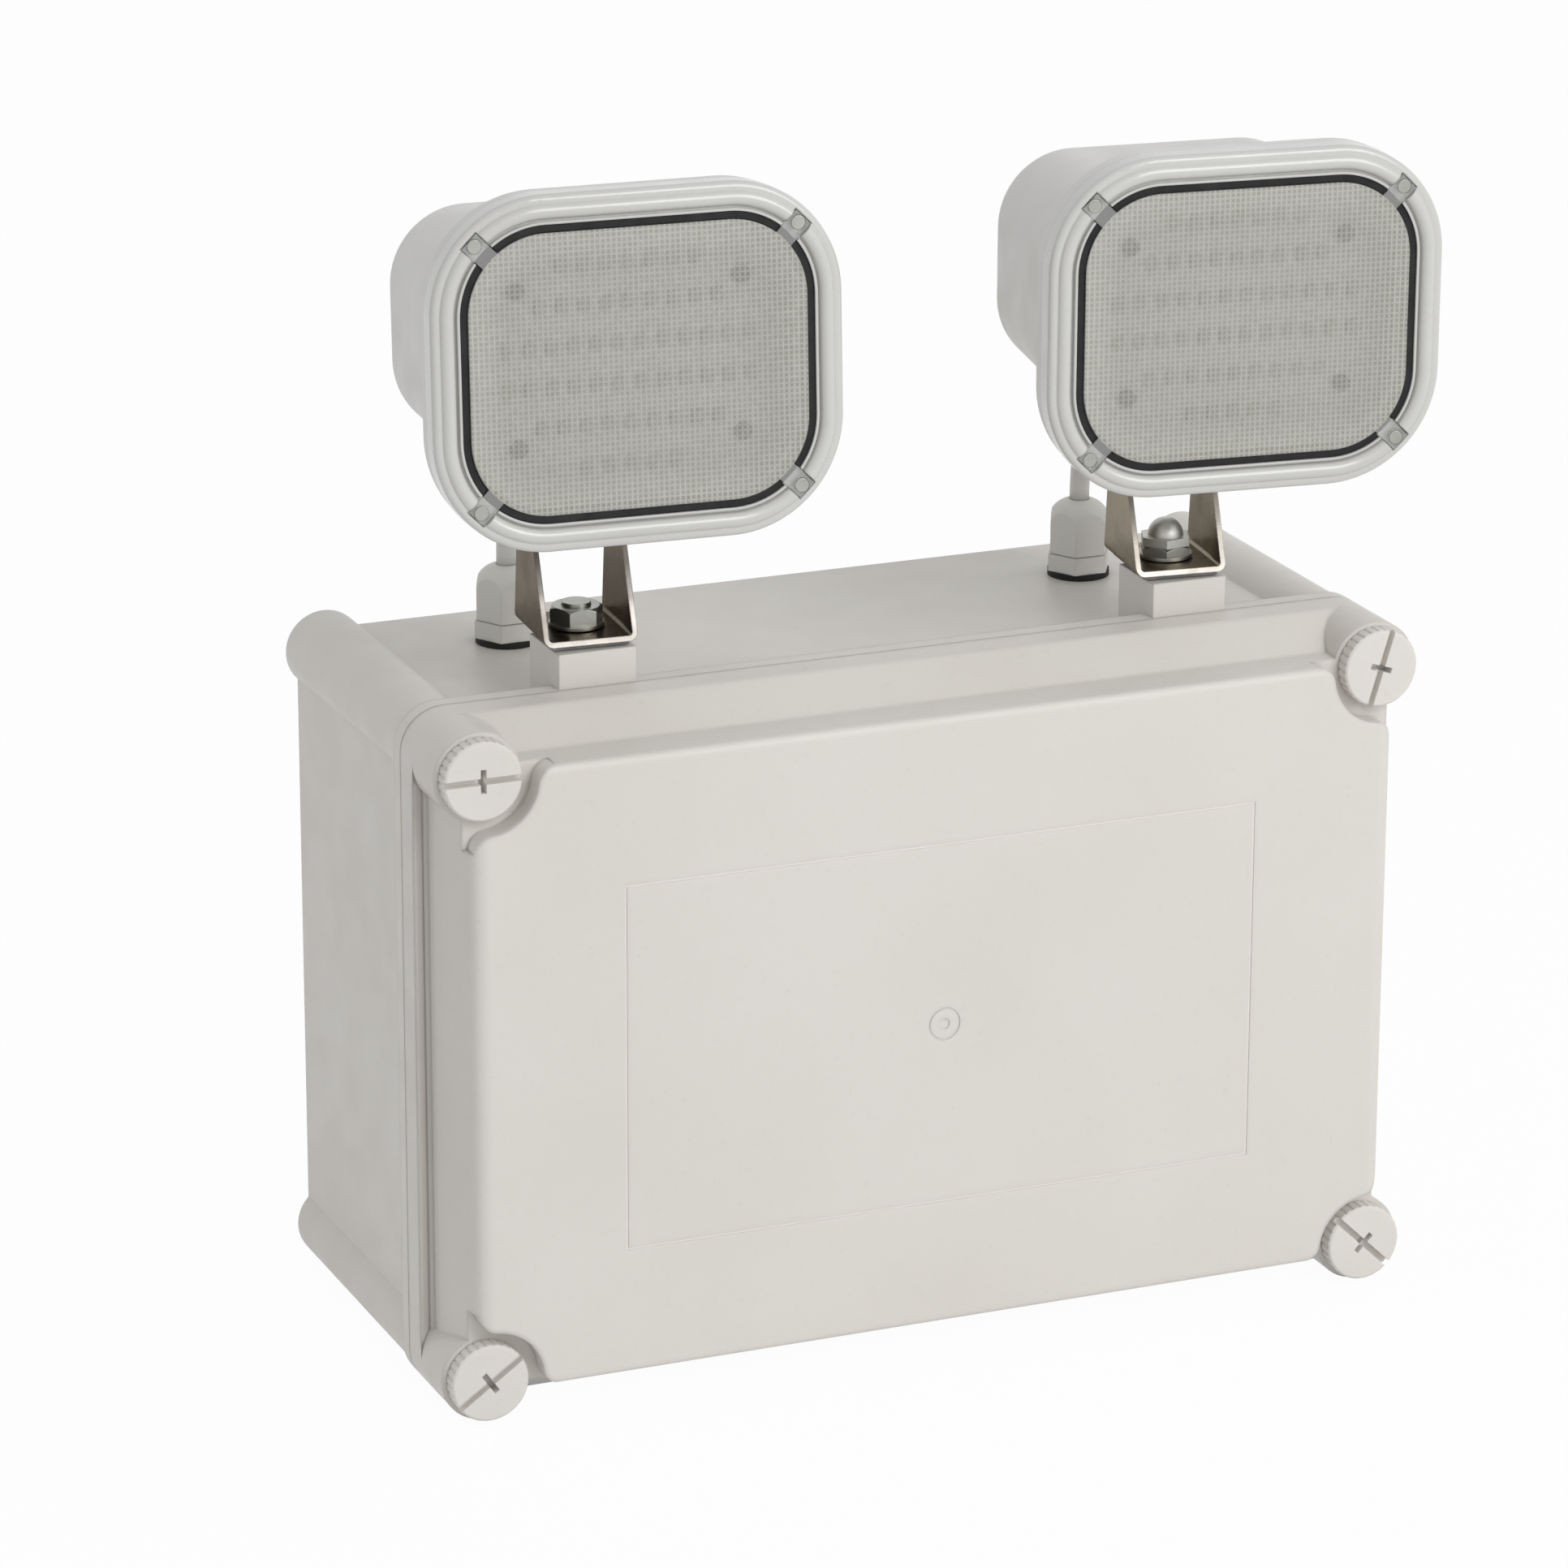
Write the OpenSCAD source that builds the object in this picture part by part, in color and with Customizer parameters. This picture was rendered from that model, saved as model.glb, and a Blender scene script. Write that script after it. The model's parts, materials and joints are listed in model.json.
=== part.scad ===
// Twin head emergency light in a weatherproof wall box.
// X runs to the right, Y runs back to the wall and Z runs up.
// The origin is the centre of the rear face, where the box meets the wall.

/* [Enclosure] */
// Distance between the lid screws across the front
screw_span_x = 266; // [240:1:320]
// Distance between the lid screws up the front
screw_span_z = 172; // [160:1:220]
// Radius of the rounded corners, about the lid screws
corner_r = 12.3; // [12:0.1:13]
// Depth of the base from the wall to the seam of the lid
base_d = 98; // [94:1:120]
// Thickness of the moulded walls
wall = 3; // [2.5:0.1:3.5]
// How far the left and right walls lie inside the rim
side_recess = 4.3; // [3.5:0.1:5]
// How far the top and bottom walls lie inside the rim
top_recess = 6.3; // [5:0.1:7]
// Radius of the corner columns
column_r = 11.3; // [10.5:0.1:11.5]
// Depth of the rim behind the seam
rim_d = 5; // [5:0.5:10]

/* [Lid] */
// Depth of the straight skirt of the lid
skirt_d = 9.8; // [8:0.1:14]
// Depth of the crown of the lid in front of the skirt
crown_d = 23.3; // [20:0.1:28]
// Depth of the corner posts in front of the skirt
post_d = 16.6; // [14:0.1:18]
// Radius of the scallops that clear the lid screws
scallop_r = 15.2; // [14.5:0.1:16]
// Radius where a scallop meets the edges of the face
scallop_fillet = 5; // [3:0.5:7]
// Width of the fine frame line on the face
frame_w = 187.8; // [120:0.2:200]
// Height of the fine frame line on the face
frame_h = 104.9; // [60:0.1:120]

/* [Lid screws] */
// Radius of the screw heads
head_r = 11.1; // [10:0.1:11.5]
// Thickness of the screw heads
head_t = 5; // [4:0.1:6]
// Radius of the screw shanks
shank_r = 3.5; // [3:0.1:4]
// Number of notches round a screw head
notch_count = 30; // [20:1:36]
// Angles of the slots as the four screws are left, in degrees
slot_angles = [0, 73, 35, -44];

/* [Yokes] */
// Distance of each yoke from the middle of the box
yoke_x = 88.5; // [80:0.5:100]
// Distance of the pan bolts behind the seam
pan_in = 16; // [14:0.5:18]
// Width of a pedestal
pedestal_w = 22.5; // [20:0.5:24]
// Height of a pedestal's top above the top wall
pedestal_h = 16.1; // [14:0.1:22]
// Depth of a pedestal
pedestal_d = 22; // [20:0.5:26]
// Width of a yoke over its arms
yoke_w = 26.4; // [24:0.1:28]
// Thickness of the steel of a yoke
yoke_t = 1.5; // [1.5:0.1:2]
// Depth of a yoke's plate
yoke_d = 29; // [24:0.5:30]
// Height of the tilt axis above the pedestal
tilt_rise = 33; // [30:0.5:36]
// Distance of the tilt axis behind the pan axis
tilt_back = 5; // [3:0.5:6]
// Radius of the rounded top of a yoke's arms
arm_r = 6; // [5.5:0.1:7]

/* [Heads] */
// Turn of the left head about its pan bolt, in degrees
left_pan = -4; // [-30:0.1:30]
// Turn of the right head about its pan bolt, in degrees
right_pan = -6.6; // [-30:0.1:30]
// Upward tilt of the left head, in degrees
left_tilt = 3.2; // [-15:0.1:15]
// Upward tilt of the right head, in degrees
right_tilt = -0.4; // [-15:0.1:15]
// Width of the front bezel
bezel_w = 111.8; // [104:0.2:120]
// Height of the front bezel
bezel_h = 94.2; // [88:0.2:100]
// Corner radius of the front bezel
bezel_r = 31; // [28:0.5:34]
// Depth of the front bezel
bezel_d = 7; // [6:0.5:9]
// Depth of the housing's flange behind the bezel
flange_d = 8; // [6:0.5:12]
// Width of the housing behind its flange
body_w = 96.4; // [90:0.2:100]
// Height of the housing behind its flange
body_h = 68; // [64:0.5:74]
// Corner radius of the housing behind its flange
body_r = 24; // [20:0.5:28]
// How much narrower the housing is on each side at its back
body_narrowing = 3; // [1:0.5:5]
// Depth of the head from its face to its back
head_d = 82.5; // [74:0.5:90]
// Wall of the head's housing
head_wall = 2.6; // [2:0.1:3]
// Distance of the face in front of the tilt axis
face_fwd = 67; // [60:0.5:70]
// Height of the head's middle above the tilt axis
head_rise = 52.8; // [50:0.1:58]
// How far the lens gasket lies inside the bezel's edge
gasket_inset = 7.8; // [7:0.1:9]
// Width of the lens gasket
gasket_w = 2; // [1.5:0.1:2.5]
// Thickness of the lens
lens_t = 3; // [2.5:0.1:4]

/* [Lamps] */
// Distance between the columns of chips
chip_pitch_x = 6.05; // [5.5:0.05:6.5]
// Distance between the rows of chips
chip_pitch_y = 10.7; // [9:0.1:12]
// Width of a chip
chip_w = 2.8; // [2:0.1:3.5]
// Length of a chip
chip_l = 3.5; // [2.8:0.1:4]

/* [Glands and leads] */
// Distance of the left gland from the middle of the box
left_gland_x = 89.5; // [86:0.5:92]
// Distance of the right gland from the middle of the box
right_gland_x = 86; // [84:0.5:92]
// Distance of the glands in front of the wall
gland_y = 30.5; // [26:0.5:34]
// Radius of the leads
lead_r = 2.85; // [2.5:0.05:3.2]
// Width of a gland's cap across its flats
gland_af = 15.6; // [15:0.1:17]
// Height of a gland's cap
gland_cap_h = 15.7; // [14:0.1:20]
// Height of a gland's hexagonal base
gland_hex_h = 5; // [4:0.5:6]

/* [Gear] */
// Width of the battery
battery_w = 151; // [100:1:152]
// Height of the battery
battery_h = 94; // [70:1:98]
// Depth of the battery
battery_d = 62; // [50:1:65]
// Thickness of the steel gear tray
tray_t = 1.5; // [1:0.1:2]
// Radius of the four wall-fixing holes
fixing_r = 2.75; // [2:0.05:3.5]
// Radius of the cable entry
entry_r = 10.2; // [8:0.1:12.7]

/* [Hidden] */
$fn = 48;

// Overrun of every cut past the surface that it opens
over = 1;
// Gap between pieces that rest near each other
gap = 0.3;
// Radial clearance of a shaft that turns in its hole
running = 0.08;
// Overlap that joins a boss or a step to what carries it
sink = 0.5;
// Radius of a hexagon's corners as a share of its width across the flats
hex_share = 0.57735;

// Half sizes of the rim, the walls and the hollow
screw_x = screw_span_x / 2;
screw_z = screw_span_z / 2;
rim_x = screw_x + corner_r;
rim_z = screw_z + corner_r;
wall_x = rim_x - side_recess;
wall_z = rim_z - top_recess;
inner_x = wall_x - wall;
inner_z = wall_z - wall;
// Corners of the box in the order of the slot angles: top left, top right, bottom left, bottom right
corners = [[-1, 1], [1, 1], [-1, -1], [1, -1]];

// Places along the depth, measured forward from the wall
skirt_front = base_d + skirt_d;
post_front = skirt_front + post_d;
face_front = skirt_front + crown_d;
pan_y = base_d - pan_in;

// Lid crown: where the shoulders end, and how far each edge lies beyond the screws
top_shoulder_s = 11;
top_shoulder_out = 3.2;
top_face_out = 2.5;
side_step_s = 3.1;
side_step_out = 8;
side_face_out = 3;
channel_d = 3;
top_edge_r = 2;
side_edge_r = 5;
line_w = 0.6;
line_d = 0.25;
gate_r = 4.8;
gate_dimple_r = 1.6;

// Lid gasket groove in the front face of the base
groove_in = 1.5;
groove_out = 4.5;
groove_d = 3;
gasket_h = 1.7;
tongue_in = 2.1;
tongue_out = 3.9;
tongue_h = 1;

// Lid screws
slot_w = 1.8;
slot_d = 2.4;
cross_reach = 3.3;
cross_w = 1.6;
cross_d = 4;
notch_r = 0.45;
notch_out = 0.15;
head_chamfer = 0.6;
shank_in = 14;
column_bore_r = 5;
column_bore_d = 26;

// Wall fixings, cable entry and the bosses of the gear tray
fixing_in = 21;
fixing_drop = 5;
fixing_boss_r = 6;
fixing_boss_h = 2;
entry_x = 105;
entry_y = 52;
boss_r = 5;
boss_h = 6;
boss_pilot_r = 1.6;
boss_pilot_d = 5;
tray_side_gap = 8;
tray_end_gap = 16;
tray_hole_in = 6;
tray_hole_drop = 11;
tray_lip = 8;
tray_back = wall + boss_h;
tray_front = tray_back + tray_t;
fixing_span_x = screw_span_x - 2 * fixing_in;
fixing_span_z = screw_span_z - 2 * fixing_drop;
tray_w = 2 * (inner_x - tray_side_gap);
tray_h = 2 * (inner_z - tray_end_gap);
tray_x = tray_w / 2 - tray_hole_in;
tray_z = tray_h / 2 - tray_hole_drop;

// Gear screws
gear_screw_r = 1.5;
gear_head_r = 3.6;
gear_head_h = 2.2;

// Battery, its strap and its place in the box
battery_right = 35.5;
battery_x = battery_right - battery_w / 2;
shelf_top = tray_t - tray_h / 2;
shelf_d = 40;
shelf_w = 162;
strap_hook = 30;
battery_lid_h = 9;
battery_groove = 0.8;
battery_post_w = 4.8;
battery_post_h = 5;
battery_post_t = 0.8;
battery_post_inset = 10;
strap_w = 24;
strap_t = 1.2;
strap_foot = 14;

// Control board, its components and the terminals
board_w = 88;
board_t = 1.6;
board_x = 84;
board_under = 1.5;
board_above = 19;
board_gap = 6;
board_post_r = 3;
board_hole_inset = 5;
mains_w = 44;
mains_d = 17;
mains_h = 20;
mains_x = 96;
mains_rise = 11;
mains_z = mains_rise - tray_h / 2;
mains_ways = 5;
output_ways = 2;
transformer_w = 34;
transformer_h = 26;
core_share = 0.7;
capacitor_r = 6;
capacitor_h = 24;
capacitor_pitch_share = 2.3;
transformer_shares = [-0.25, 0.2];
capacitor_shares = [0.17, 0.33];
relay_shares = [-0.25, -0.25];
sink_shares = [0.2, -0.05];
header_shares = [0.12, -0.33];
relay_w = 18;
relay_d = 15;
relay_h = 15;
sink_w = 34;
sink_d = 22;
sink_t = 1.6;
sink_h = 20;
sink_fins = 5;
header_w = 24;
header_d = 8;
header_h = 9;
output_w = 18;
output_h = 15;
output_depth = 34;
terminal_screw_r = 2.2;
terminal_screw_d = 2.5;

// Test button and status indicator on the underside
button_x = 60;
button_r = 4;
button_out = 3;
button_flange_r = 6;
button_flange_h = 1.5;
button_stem = 9;
button_guide_r = 8;
button_guide_wall = 1.6;
indicator_x = 80;
indicator_r = 2.5;
indicator_out = 2;
indicator_flange_r = 4;
service_y = 70;

// Pan bolts, nuts and washers
bolt_r = 4;
hex_af = 13;
pan_head_h = 5.3;
washer_r = 7.6;
washer_t = 1;
nut_chamfer = 0.8;
pan_nut_h = 4.6;
lower_nut_h = 2.5;
cap_nut_h = 2.5;
cap_r = 5;
bolt_tip = 1;
pad_t = 1;
pad_inset = 1;
bend_r = 1;
right_nut_turn = 15;

// Tilt bolts
tilt_bolt_r = 2.5;
tilt_hex_af = 8;
tilt_head_h = 3.5;
tilt_tip = 1.5;
lug_side_gap = 0.4;
lug_r = 6;

// Head: bezel section, lens ears, board and screws
ear_reach = 5.6;
ear_w = 5.6;
ear_t = 2.4;
ear_gap = 0.25;
bead_r = 2.1;
bead_in = 4.3;
bead_rise = 0.9;
bead_centre = bezel_r - bead_in;
step_down = 0.3;
lip_w = 0.6;
gasket_sink = 0.6;
edge_r = 1.6;
bezel_seat = 4;
ledge_w = 1.4;
lens_screw_r = 1.3;
lens_screw_head_r = 1.9;
lens_screw_head_h = 1.2;
lens_screw_bottom = 10;
ear_axis = bead_centre;
back_edge_r = 5;
led_board_t = 1.6;
board_back = 11;
tray_r = 20.5;
flange_inset = 0.4;
flange_taper = 3;
body_up = 0.8;
board_screw_x = 30.7;
board_screw_y = 20.9;
board_post_outer_r = 3;
board_screw_head_r = 2.3;
board_screw_head_h = 1.6;
board_screw_r = 1.3;
board_screw_l = 8;
chip_h = 0.9;
chips_in_row = [7, 9, 12, 12, 9, 5];
grommet_r = 5.5;
grommet_neck_r = 4.2;
grommet_t = 2.5;
grommet_drop = 18;
lead_end_in = 6;

// Glands
gland_washer_r = 8.9;
gland_washer_t = 1.8;
gland_hex_af = 16.6;
gland_thread_r = 6;
gland_tail = 6;
gland_neck_r = 6.6;
gland_neck_h = 10;
gland_dome_r = 7;
cap_lift = 0.2;
gland_nut_h = 4;
gland_nut_af = 17;
lead_sides = 12;
lead_steps = 18;
lead_pull_up = 30;
lead_pull_back = 28;

// Worked out from the above
left = -1;
right = 1;
pedestal_top = wall_z + pedestal_h;
plate_bottom = gap + pad_t;
plate_top = plate_bottom + yoke_t;
washer_bottom = plate_top + gap;
gland_top = wall_z + gland_washer_t + gland_hex_h + gland_cap_h;
bezel_cx = bezel_w / 2 - bezel_r;
bezel_cy = bezel_h / 2 - bezel_r;
gasket_r = bezel_r - gasket_inset;
lens_r = gasket_r - gasket_w;
flange_back = bezel_d + flange_d;
output_bottom = inner_z - output_depth;
board_low = mains_z + mains_d / 2 + board_under;
board_high = output_bottom - board_above;
board_h = board_high - board_low;
board_z = (board_high + board_low) / 2;
strap_screw_z = shelf_top + battery_h + strap_foot - gear_head_r;
lead_bottom = output_bottom + output_h;

function gland_x_of(side) = side == left ? -left_gland_x : right_gland_x;
function pan_of(side) = side == left ? left_pan : right_pan;
function tilt_of(side) = side == left ? left_tilt : right_tilt;

// Places children on the front of the plane at a given depth, drawn in X and Z and extruded forward
module facing(depth) {
    translate([0, -depth, 0]) rotate([90, 0, 0]) children();
}

// Pan frame: origin on the pedestal's top at the pan axis
module at_pan(side) {
    translate([side * yoke_x, -pan_y, pedestal_top]) rotate([0, 0, pan_of(side)]) children();
}

// Tilt frame: origin on the tilt axis
module at_tilt(side) {
    at_pan(side) translate([0, tilt_back, tilt_rise]) rotate([-tilt_of(side), 0, 0]) children();
}

// Face frame: X across the head, Y up it and Z out of its face
module at_face(side) {
    at_tilt(side) translate([0, -face_fwd, head_rise]) rotate([90, 0, 0]) children();
}

// Gland frame: origin on the top wall at the gland's axis
module at_gland(side) {
    translate([gland_x_of(side), -gland_y, wall_z]) children();
}

module rounded_rect(half_x, half_y, r) {
    square([2 * half_x, 2 * (half_y - r)], center = true);
    square([2 * (half_x - r), 2 * half_y], center = true);
    for (c = corners) translate([c.x * (half_x - r), c.y * (half_y - r)]) circle(r);
}

module ring(outer, inner, h) {
    difference() {
        cylinder(r = outer, h = h);
        translate([0, 0, -over]) cylinder(r = inner, h = h + 2 * over);
    }
}

module hexagon(af, h) {
    cylinder(r = af * hex_share, h = h, $fn = 6);
}

// Carries a section round a rounded rectangle whose corner centres are at cx, cy.
// In the section X is the distance outward from a corner's centre and Y is the height.
module round_sweep(cx, cy) {
    for (k = [0:3]) {
        a = k % 2 == 0 ? [cx, cy] : [cy, cx];
        rotate([0, 0, 90 * k]) {
            translate([a.x, a.y, 0]) rotate_extrude(angle = 90) children();
            translate([-a.x, a.y, 0]) rotate([90, 0, 90]) linear_extrude(2 * a.x) children();
        }
    }
}

// A solid of the same kind, from z_low to z_high, with its middle filled
module round_solid(cx, cy, z_low, z_high) {
    round_sweep(cx, cy) children();
    translate([-cx, -cy, z_low]) cube([2 * cx, 2 * cy, z_high - z_low]);
}

// Outline of the hollow, grown by g: a rectangle that gives way to the four corner columns
module hollow_outline(g) {
    difference() {
        square([2 * (inner_x + g), 2 * (inner_z + g)], center = true);
        for (c = corners) translate([c.x * screw_x, c.y * screw_z]) circle(column_r - g);
    }
}

module enclosure_base() {
    color("gainsboro") difference() {
        union() {
            facing(0) linear_extrude(base_d) square([2 * wall_x, 2 * wall_z], center = true);
            facing(0) linear_extrude(base_d)
                for (c = corners) translate([c.x * screw_x, c.y * screw_z]) circle(column_r);
            facing(base_d - rim_d) linear_extrude(rim_d) rounded_rect(rim_x, rim_z, corner_r);
            for (side = [left, right])
                translate([side * yoke_x - pedestal_w / 2, -base_d, inner_z])
                    cube([pedestal_w, pedestal_d, pedestal_top - inner_z]);
        }
        facing(wall) linear_extrude(base_d) hollow_outline(0);
        facing(base_d - groove_d) linear_extrude(groove_d + over) difference() {
            hollow_outline(groove_out);
            hollow_outline(groove_in);
        }
        for (c = corners)
            translate([c.x * screw_x, 0, c.y * screw_z])
                facing(base_d - column_bore_d) cylinder(r = column_bore_r, h = column_bore_d + over);
        for (side = [left, right]) {
            translate([side * yoke_x, -pan_y, inner_z - over])
                cylinder(r = bolt_r + running, h = pedestal_top - inner_z + 2 * over);
            translate([gland_x_of(side), -gland_y, inner_z - over])
                cylinder(r = gland_thread_r + running, h = wall + 2 * over);
        }
        for (c = corners)
            translate([c.x * fixing_span_x / 2, over, c.y * fixing_span_z / 2])
                facing(0) cylinder(r = fixing_r, h = wall + 2 * over);
        translate([entry_x, -entry_y, -wall_z - over]) cylinder(r = entry_r, h = wall + 2 * over);
        translate([button_x, -service_y, -wall_z - over]) cylinder(r = button_r + running, h = wall + 2 * over);
        translate([indicator_x, -service_y, -wall_z - over])
            cylinder(r = indicator_r + running, h = wall + 2 * over);
    }
    color("gainsboro") {
        for (c = corners) {
            translate([c.x * tray_x, 0, c.y * tray_z]) facing(wall - sink) ring(boss_r, boss_pilot_r, boss_h + sink);
            translate([c.x * fixing_span_x / 2, 0, c.y * fixing_span_z / 2])
                facing(wall - sink) ring(fixing_boss_r, fixing_r, fixing_boss_h + sink);
        }
        translate([button_x, -service_y, -inner_z - sink])
            ring(button_guide_r, button_guide_r - button_guide_wall, button_stem - button_guide_wall + sink);
    }
}

// Section across the crown of the lid. X runs forward from the skirt and Y is the half width.
module crown_outline(w_skirt, s_step, w_step, w_face) {
    back = wall + over;
    polygon([[-back, -w_skirt], [0, -w_skirt], [s_step, -w_step], [crown_d, -w_face],
        [crown_d, w_face], [s_step, w_step], [0, w_skirt], [-back, w_skirt]]);
}

// The same section with round edges of radius r at the face
module crown_section(w_skirt, s_step, w_step, w_face, r) {
    slope = (w_face - w_step) / (crown_d - s_step);
    k = sqrt(1 + slope * slope);
    arc_s = crown_d - r;
    arc_w = w_step + slope * (arc_s - s_step) - r * k;
    tangent = [arc_s - r * slope / k, arc_w + r / k];
    for (m = [-1, 1]) translate([arc_s, m * arc_w]) circle(r);
    polygon([[-sink, -w_skirt], [0, -w_skirt], [s_step, -w_step], [tangent.x, -tangent.y], [crown_d, -arc_w],
        [crown_d, arc_w], tangent, [s_step, w_step], [0, w_skirt], [-sink, w_skirt]]);
}

// Turns a section drawn in depth and height along X, and one drawn in depth and width along Z
module along_x(half) {
    translate([-half, -skirt_front, 0]) rotate([90, 0, 90]) mirror([1, 0, 0]) linear_extrude(2 * half) children();
}
module along_z(half) {
    translate([0, -skirt_front, -half]) rotate([0, 0, -90]) linear_extrude(2 * half) children();
}

module crown_solid() {
    intersection() {
        along_x(rim_x)
            crown_section(rim_z, top_shoulder_s, screw_z + top_shoulder_out, screw_z + top_face_out, top_edge_r);
        along_z(rim_z)
            crown_section(screw_x + side_step_out, side_step_s, screw_x + side_step_out, screw_x + side_face_out,
                side_edge_r);
    }
}

module crown_hollow() {
    intersection() {
        along_x(rim_x) offset(delta = -wall)
            crown_outline(rim_z, top_shoulder_s, screw_z + top_shoulder_out, screw_z + top_face_out);
        along_z(rim_z) offset(delta = -wall)
            crown_outline(screw_x + side_step_out, side_step_s, screw_x + side_step_out, screw_x + side_face_out);
        facing(base_d) linear_extrude(skirt_d + crown_d) difference() {
            hollow_outline(0);
            for (c = corners) translate([c.x * screw_x, c.y * screw_z]) circle(scallop_r + wall);
        }
    }
}

// Sunk channels along both sides of the skirt, at the foot of the crown
module side_channels() {
    foot = screw_x + side_step_out;
    along_z(rim_z) for (m = [-1, 1])
        polygon([[0, m * rim_x], [-channel_d, m * foot], [over, m * foot], [over, m * (rim_x + over)],
            [0, m * (rim_x + over)]]);
}

// Scallop at the corner in the positive quadrant: the screw's circle with fillets at both edges
module scallop() {
    edge_x = screw_x + side_face_out;
    edge_z = screw_z + top_face_out;
    reach = scallop_r + scallop_fillet;
    drop_x = edge_x - scallop_fillet - screw_x;
    drop_z = edge_z - scallop_fillet - screw_z;
    side_c = [screw_x + drop_x, screw_z - sqrt(reach * reach - drop_x * drop_x)];
    top_c = [screw_x - sqrt(reach * reach - drop_z * drop_z), screw_z + drop_z];
    translate([screw_x, screw_z]) circle(scallop_r);
    difference() {
        polygon([[screw_x, screw_z], top_c, [top_c.x, rim_z + over], [rim_x + over, rim_z + over],
            [rim_x + over, side_c.y], side_c]);
        translate(top_c) circle(scallop_fillet);
        translate(side_c) circle(scallop_fillet);
    }
}

module lid() {
    color("whitesmoke") difference() {
        union() {
            difference() {
                facing(base_d + gap) linear_extrude(skirt_d - gap) rounded_rect(rim_x, rim_z, corner_r);
                side_channels();
            }
            difference() {
                intersection() {
                    crown_solid();
                    facing(skirt_front - sink) linear_extrude(crown_d + sink)
                        rounded_rect(rim_x, rim_z, corner_r);
                }
                facing(post_front) linear_extrude(crown_d)
                    for (c = corners) scale([c.x, c.y]) scallop();
            }
            for (c = corners)
                translate([c.x * screw_x, 0, c.y * screw_z])
                    facing(base_d + gap) cylinder(r = corner_r, h = skirt_d + post_d - gap);
            facing(base_d - tongue_h) linear_extrude(tongue_h + skirt_d) difference() {
                hollow_outline(tongue_out);
                hollow_outline(tongue_in);
            }
        }
        crown_hollow();
        facing(base_d) linear_extrude(skirt_d + over) hollow_outline(0);
        for (c = corners)
            translate([c.x * screw_x, 0, c.y * screw_z]) facing(base_d)
                cylinder(r = shank_r + running, h = skirt_d + crown_d + over);
        facing(face_front - line_d) linear_extrude(line_d + over) difference() {
            square([frame_w, frame_h], center = true);
            square([frame_w - 2 * line_w, frame_h - 2 * line_w], center = true);
        }
        facing(face_front - line_d) ring(gate_r, gate_r - line_w, line_d + over);
        facing(face_front - line_d) cylinder(r = gate_dimple_r, h = line_d + over);
    }
}

module lid_gasket() {
    color("dimgray") facing(base_d - groove_d) linear_extrude(gasket_h) difference() {
        hollow_outline(groove_out - gap);
        hollow_outline(groove_in + gap);
    }
}

// A captive screw: a ribbed head with a smooth face, a slot and short cross arms, and a shank into the column
module lid_screw(k) {
    place = corners[k];
    color("whitesmoke") translate([place.x * screw_x, 0, place.y * screw_z]) {
        difference() {
            union() {
                facing(post_front + gap) linear_extrude(head_t - gap - head_chamfer) difference() {
                    circle(head_r);
                    for (n = [0:notch_count - 1])
                        rotate(360 * n / notch_count) translate([head_r + notch_out, 0]) circle(notch_r);
                }
                facing(post_front + head_t - head_chamfer)
                    cylinder(r1 = head_r, r2 = head_r - head_chamfer, h = head_chamfer);
            }
            facing(post_front + head_t - slot_d) rotate([0, 0, slot_angles[k]])
                linear_extrude(slot_d + over) square([2 * (head_r + over), slot_w], center = true);
            facing(post_front + head_t - cross_d) rotate([0, 0, slot_angles[k]])
                linear_extrude(cross_d + over) square([cross_w, 2 * cross_reach], center = true);
        }
        facing(base_d - shank_in) cylinder(r = shank_r, h = shank_in + skirt_d + post_d + 2 * gap);
    }
}

module gear_tray() {
    color("lightgray") difference() {
        union() {
            facing(tray_back) linear_extrude(tray_t) square([tray_w, tray_h], center = true);
            translate([-tray_w / 2, -tray_back - tray_lip, tray_h / 2 - tray_t]) cube([tray_w, tray_lip, tray_t]);
            translate([battery_x - shelf_w / 2, -tray_back - shelf_d, -tray_h / 2]) cube([shelf_w, shelf_d, tray_t]);
            at_board_holes() facing(0) cylinder(r = board_post_r, h = board_gap);
        }
        for (c = corners)
            translate([c.x * tray_x, 0, c.y * tray_z]) facing(tray_back - over)
                cylinder(r = gear_screw_r + running, h = tray_t + 2 * over);
        at_board_holes() facing(gap) cylinder(r = gear_screw_r + running, h = board_gap + over);
        translate([battery_x, -tray_front, strap_screw_z])
            facing(-tray_t - over) cylinder(r = gear_screw_r + running, h = tray_t + 2 * over);
    }
}

module gear_screw(l) {
    facing(0) cylinder(r = gear_head_r, h = gear_head_h);
    facing(-l) cylinder(r = gear_screw_r, h = l);
}

module gear_screws() {
    color("silver") {
        for (c = corners) translate([c.x * tray_x, -tray_front, c.y * tray_z])
            gear_screw(tray_t + boss_pilot_d);
        at_board_holes() translate([0, -board_gap - board_t, 0]) gear_screw(board_gap);
        translate([battery_x, -tray_front - strap_t, strap_screw_z]) gear_screw(strap_t + tray_t + gap);
    }
}

module battery() {
    bottom = shelf_top;
    color("dimgray") translate([battery_x, -tray_front, bottom]) {
        difference() {
            translate([-battery_w / 2, -battery_d, 0]) cube([battery_w, battery_d, battery_h]);
            difference() {
                translate([-battery_w / 2 - over, -battery_d - over, battery_h - battery_lid_h])
                    cube([battery_w + 2 * over, battery_d + 2 * over, battery_groove]);
                translate([battery_groove - battery_w / 2, battery_groove - battery_d, 0])
                    cube([battery_w - 2 * battery_groove, battery_d - 2 * battery_groove, battery_h]);
            }
        }
        for (m = [-1, 1])
            translate([m * (battery_w / 2 - battery_post_inset) - battery_post_w / 2,
                -battery_d / 2 - battery_post_t / 2, battery_h])
                cube([battery_post_w, battery_post_t, battery_post_h]);
    }
}

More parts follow.
